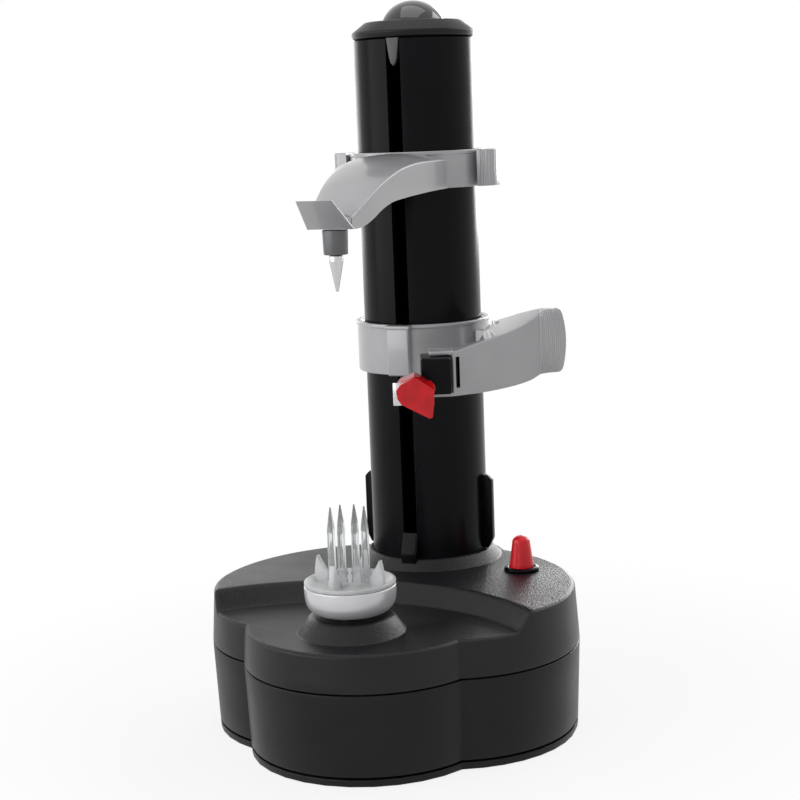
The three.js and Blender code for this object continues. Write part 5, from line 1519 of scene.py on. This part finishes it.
def add_prongs():
    flange = lathe(FLANGE_PROFILE, FLANGE_ROUNDING, 4, SPINDLE, 96)
    tines = [tine(2 * math.pi * k / TINE_COUNT) for k in range(TINE_COUNT)]
    fins = [fin(FIN_TURN + 2 * math.pi * k / FIN_COUNT) for k in range(FIN_COUNT)]
    add_piece("prong_tines", *merged(*tines), clear_plastic, "spindle", ["prong_insert"])
    add_piece("prong_fins", *merged(flange, *fins), frosted, "spindle")


add_cup()
add_prongs()


# Power button and its bezel
BUTTON = (middle("power_button").x, middle("power_button").y)
BEZEL_BORE = 5.2
BEZEL_DEPTH = 3.0
BEZEL_NECK = 1.2
BEZEL_BEVEL = 0.9
BEZEL_SEAT = DECK_HEIGHT + 0.05
STALK_RADIUS = 1.9
BUTTON_RADIUS = 4.9
BUTTON_SEAT = DECK_HEIGHT + 0.2
BUTTON_TIP_RADIUS = 3.6
BUTTON_TIP_HEIGHT = 2.8
BUTTON_TIP_STEPS = 14
BUTTON_DRAFT = 0.05
BUTTON_SHOULDER = 0.5


def add_button():
    bezel_top = high("button_bezel").z
    bezel_foot = DECK_HEIGHT - BEZEL_DEPTH
    radius = high("button_bezel").x - BUTTON[0]
    neck = radius - BEZEL_NECK
    bezel = lathe([
        (BEZEL_BORE, bezel_foot), (neck, bezel_foot), (neck, BEZEL_SEAT), (radius, BEZEL_SEAT),
        (radius, bezel_top - SMALL_EDGE), (radius - BEZEL_BEVEL, bezel_top), (BEZEL_BORE, bezel_top),
        (BEZEL_BORE, bezel_foot),
    ], SMALL_EDGE, 4, BUTTON, 96)
    top = high("power_button").z
    foot = low("power_button").z
    profile = rounded([
        (0, foot), (STALK_RADIUS, foot), (STALK_RADIUS, BUTTON_SEAT), (BUTTON_RADIUS, BUTTON_SEAT),
        (BUTTON_RADIUS - BUTTON_DRAFT, bezel_top + BUTTON_SHOULDER),
        (BUTTON_TIP_RADIUS + 0.02, top - BUTTON_TIP_HEIGHT - 0.1),
    ], SOFT_EDGE, 4)
    for k in range(1, BUTTON_TIP_STEPS + 1):
        x, rise = on_circle((0, 0), 1, math.pi / 2 * k / BUTTON_TIP_STEPS)
        profile.append((BUTTON_TIP_RADIUS * x, top - BUTTON_TIP_HEIGHT * (1 - rise)))
    add_piece("bezel_ring", *bezel, black_column, "base", ["button_bezel"])
    add_piece("button_body", *turned(profile, BUTTON, 96), red_button, "button", ["power_button"])


add_button()


# Floor and light, in metres
WHITE = (1, 1, 1, 1)
FLOOR_HALF = 6.0
FLOOR_COLOUR = (0.85, 0.85, 0.85, 1)
FLOOR_ROUGHNESS = 0.9
FLOOR_SPECULAR = 0.1
SHADOW_SPAN = (0.12, 0.25)
SHADOW_WHITE = 0.85
WORLD_LIGHT = 0.33
LAMP_AIM = Vector((0, -0.05, 0.14))
LAMPS = (
    ("front_left", (-0.9, -1.0, 0.3), 1.8, 1.4, 15),
    ("back_right", (0.7, 0.65, 0.75), 0.6, 0.6, 3),
    ("back", (0.1, 1.3, 0.35), 0.8, 0.5, 8),
    ("back_left", (-1.0, 0.9, 0.35), 0.8, 0.6, 2),
    ("top", (0.0, -0.1, 1.2), 0.9, 0.9, 3),
)


def seen_share(tree):
    """1 for the rays that show the background: straight, mirrored and through glass."""
    rays = new_node(tree, "LightPath", {}).outputs
    share = rays["Is Camera Ray"]
    for ray in ("Is Glossy Ray", "Is Transmission Ray"):
        share = new_node(tree, "Math", {0: share, 1: rays[ray]}, "MAXIMUM").outputs["Value"]
    return share


def add_floor():
    """A pale floor that turns white away from the object's shadow."""
    mesh = bpy.data.meshes.new("floor")
    ends = (-FLOOR_HALF, FLOOR_HALF)
    corners = [(ends[x], ends[y], 0) for x, y in ((0, 0), (1, 0), (1, 1), (0, 1))]
    mesh.from_pydata(corners, [], [(0, 1, 2, 3)])
    floor = bpy.data.objects.new("floor", mesh)
    bpy.context.collection.objects.link(floor)
    material, tree, bsdf = shader("floor")
    set_sockets(tree, bsdf, {
        "Base Color": FLOOR_COLOUR, "Roughness": FLOOR_ROUGHNESS, "Specular IOR Level": FLOOR_SPECULAR,
    })
    place = new_node(tree, "TexCoord", {}).outputs["Object"]
    reach = new_node(tree, "VectorMath", {0: place}, "LENGTH").outputs["Value"]
    fade = new_node(tree, "MapRange", {
        "Value": reach, "From Min": SHADOW_SPAN[0], "From Max": SHADOW_SPAN[1], "To Min": SHADOW_WHITE,
    })
    fade.interpolation_type = "SMOOTHSTEP"
    share = new_node(tree, "Math", {0: seen_share(tree), 1: fade.outputs["Result"]}, "MULTIPLY")
    glow = new_node(tree, "Emission", {"Color": WHITE})
    mix = new_node(tree, "MixShader", {
        "Fac": share.outputs["Value"], 1: bsdf.outputs["BSDF"], 2: glow.outputs["Emission"],
    })
    tree.links.new(mix.outputs["Shader"], tree.nodes["Material Output"].inputs["Surface"])
    mesh.materials.append(material)


def add_world():
    world = bpy.data.worlds.new("studio")
    bpy.context.scene.world = world
    world.use_nodes = True
    tree = world.node_tree
    strength = new_node(tree, "MapRange", {"Value": seen_share(tree), "To Min": WORLD_LIGHT})
    set_sockets(tree, tree.nodes["Background"], {"Color": WHITE, "Strength": strength.outputs["Result"]})


def add_lamp(name, place, width, height, power):
    """A soft lamp aimed at the object, out of the camera's own sight."""
    data = bpy.data.lights.new(name, "AREA")
    data.shape = "RECTANGLE"
    data.size = width
    data.size_y = height
    data.energy = power
    lamp = bpy.data.objects.new(name, data)
    lamp.location = place
    lamp.visible_camera = False
    lamp.rotation_euler = (LAMP_AIM - Vector(place)).to_track_quat("-Z", "Y").to_euler()
    bpy.context.collection.objects.link(lamp)


add_floor()
add_world()
for lamp in LAMPS:
    add_lamp(*lamp)

bpy.context.scene.view_settings.view_transform = "Standard"
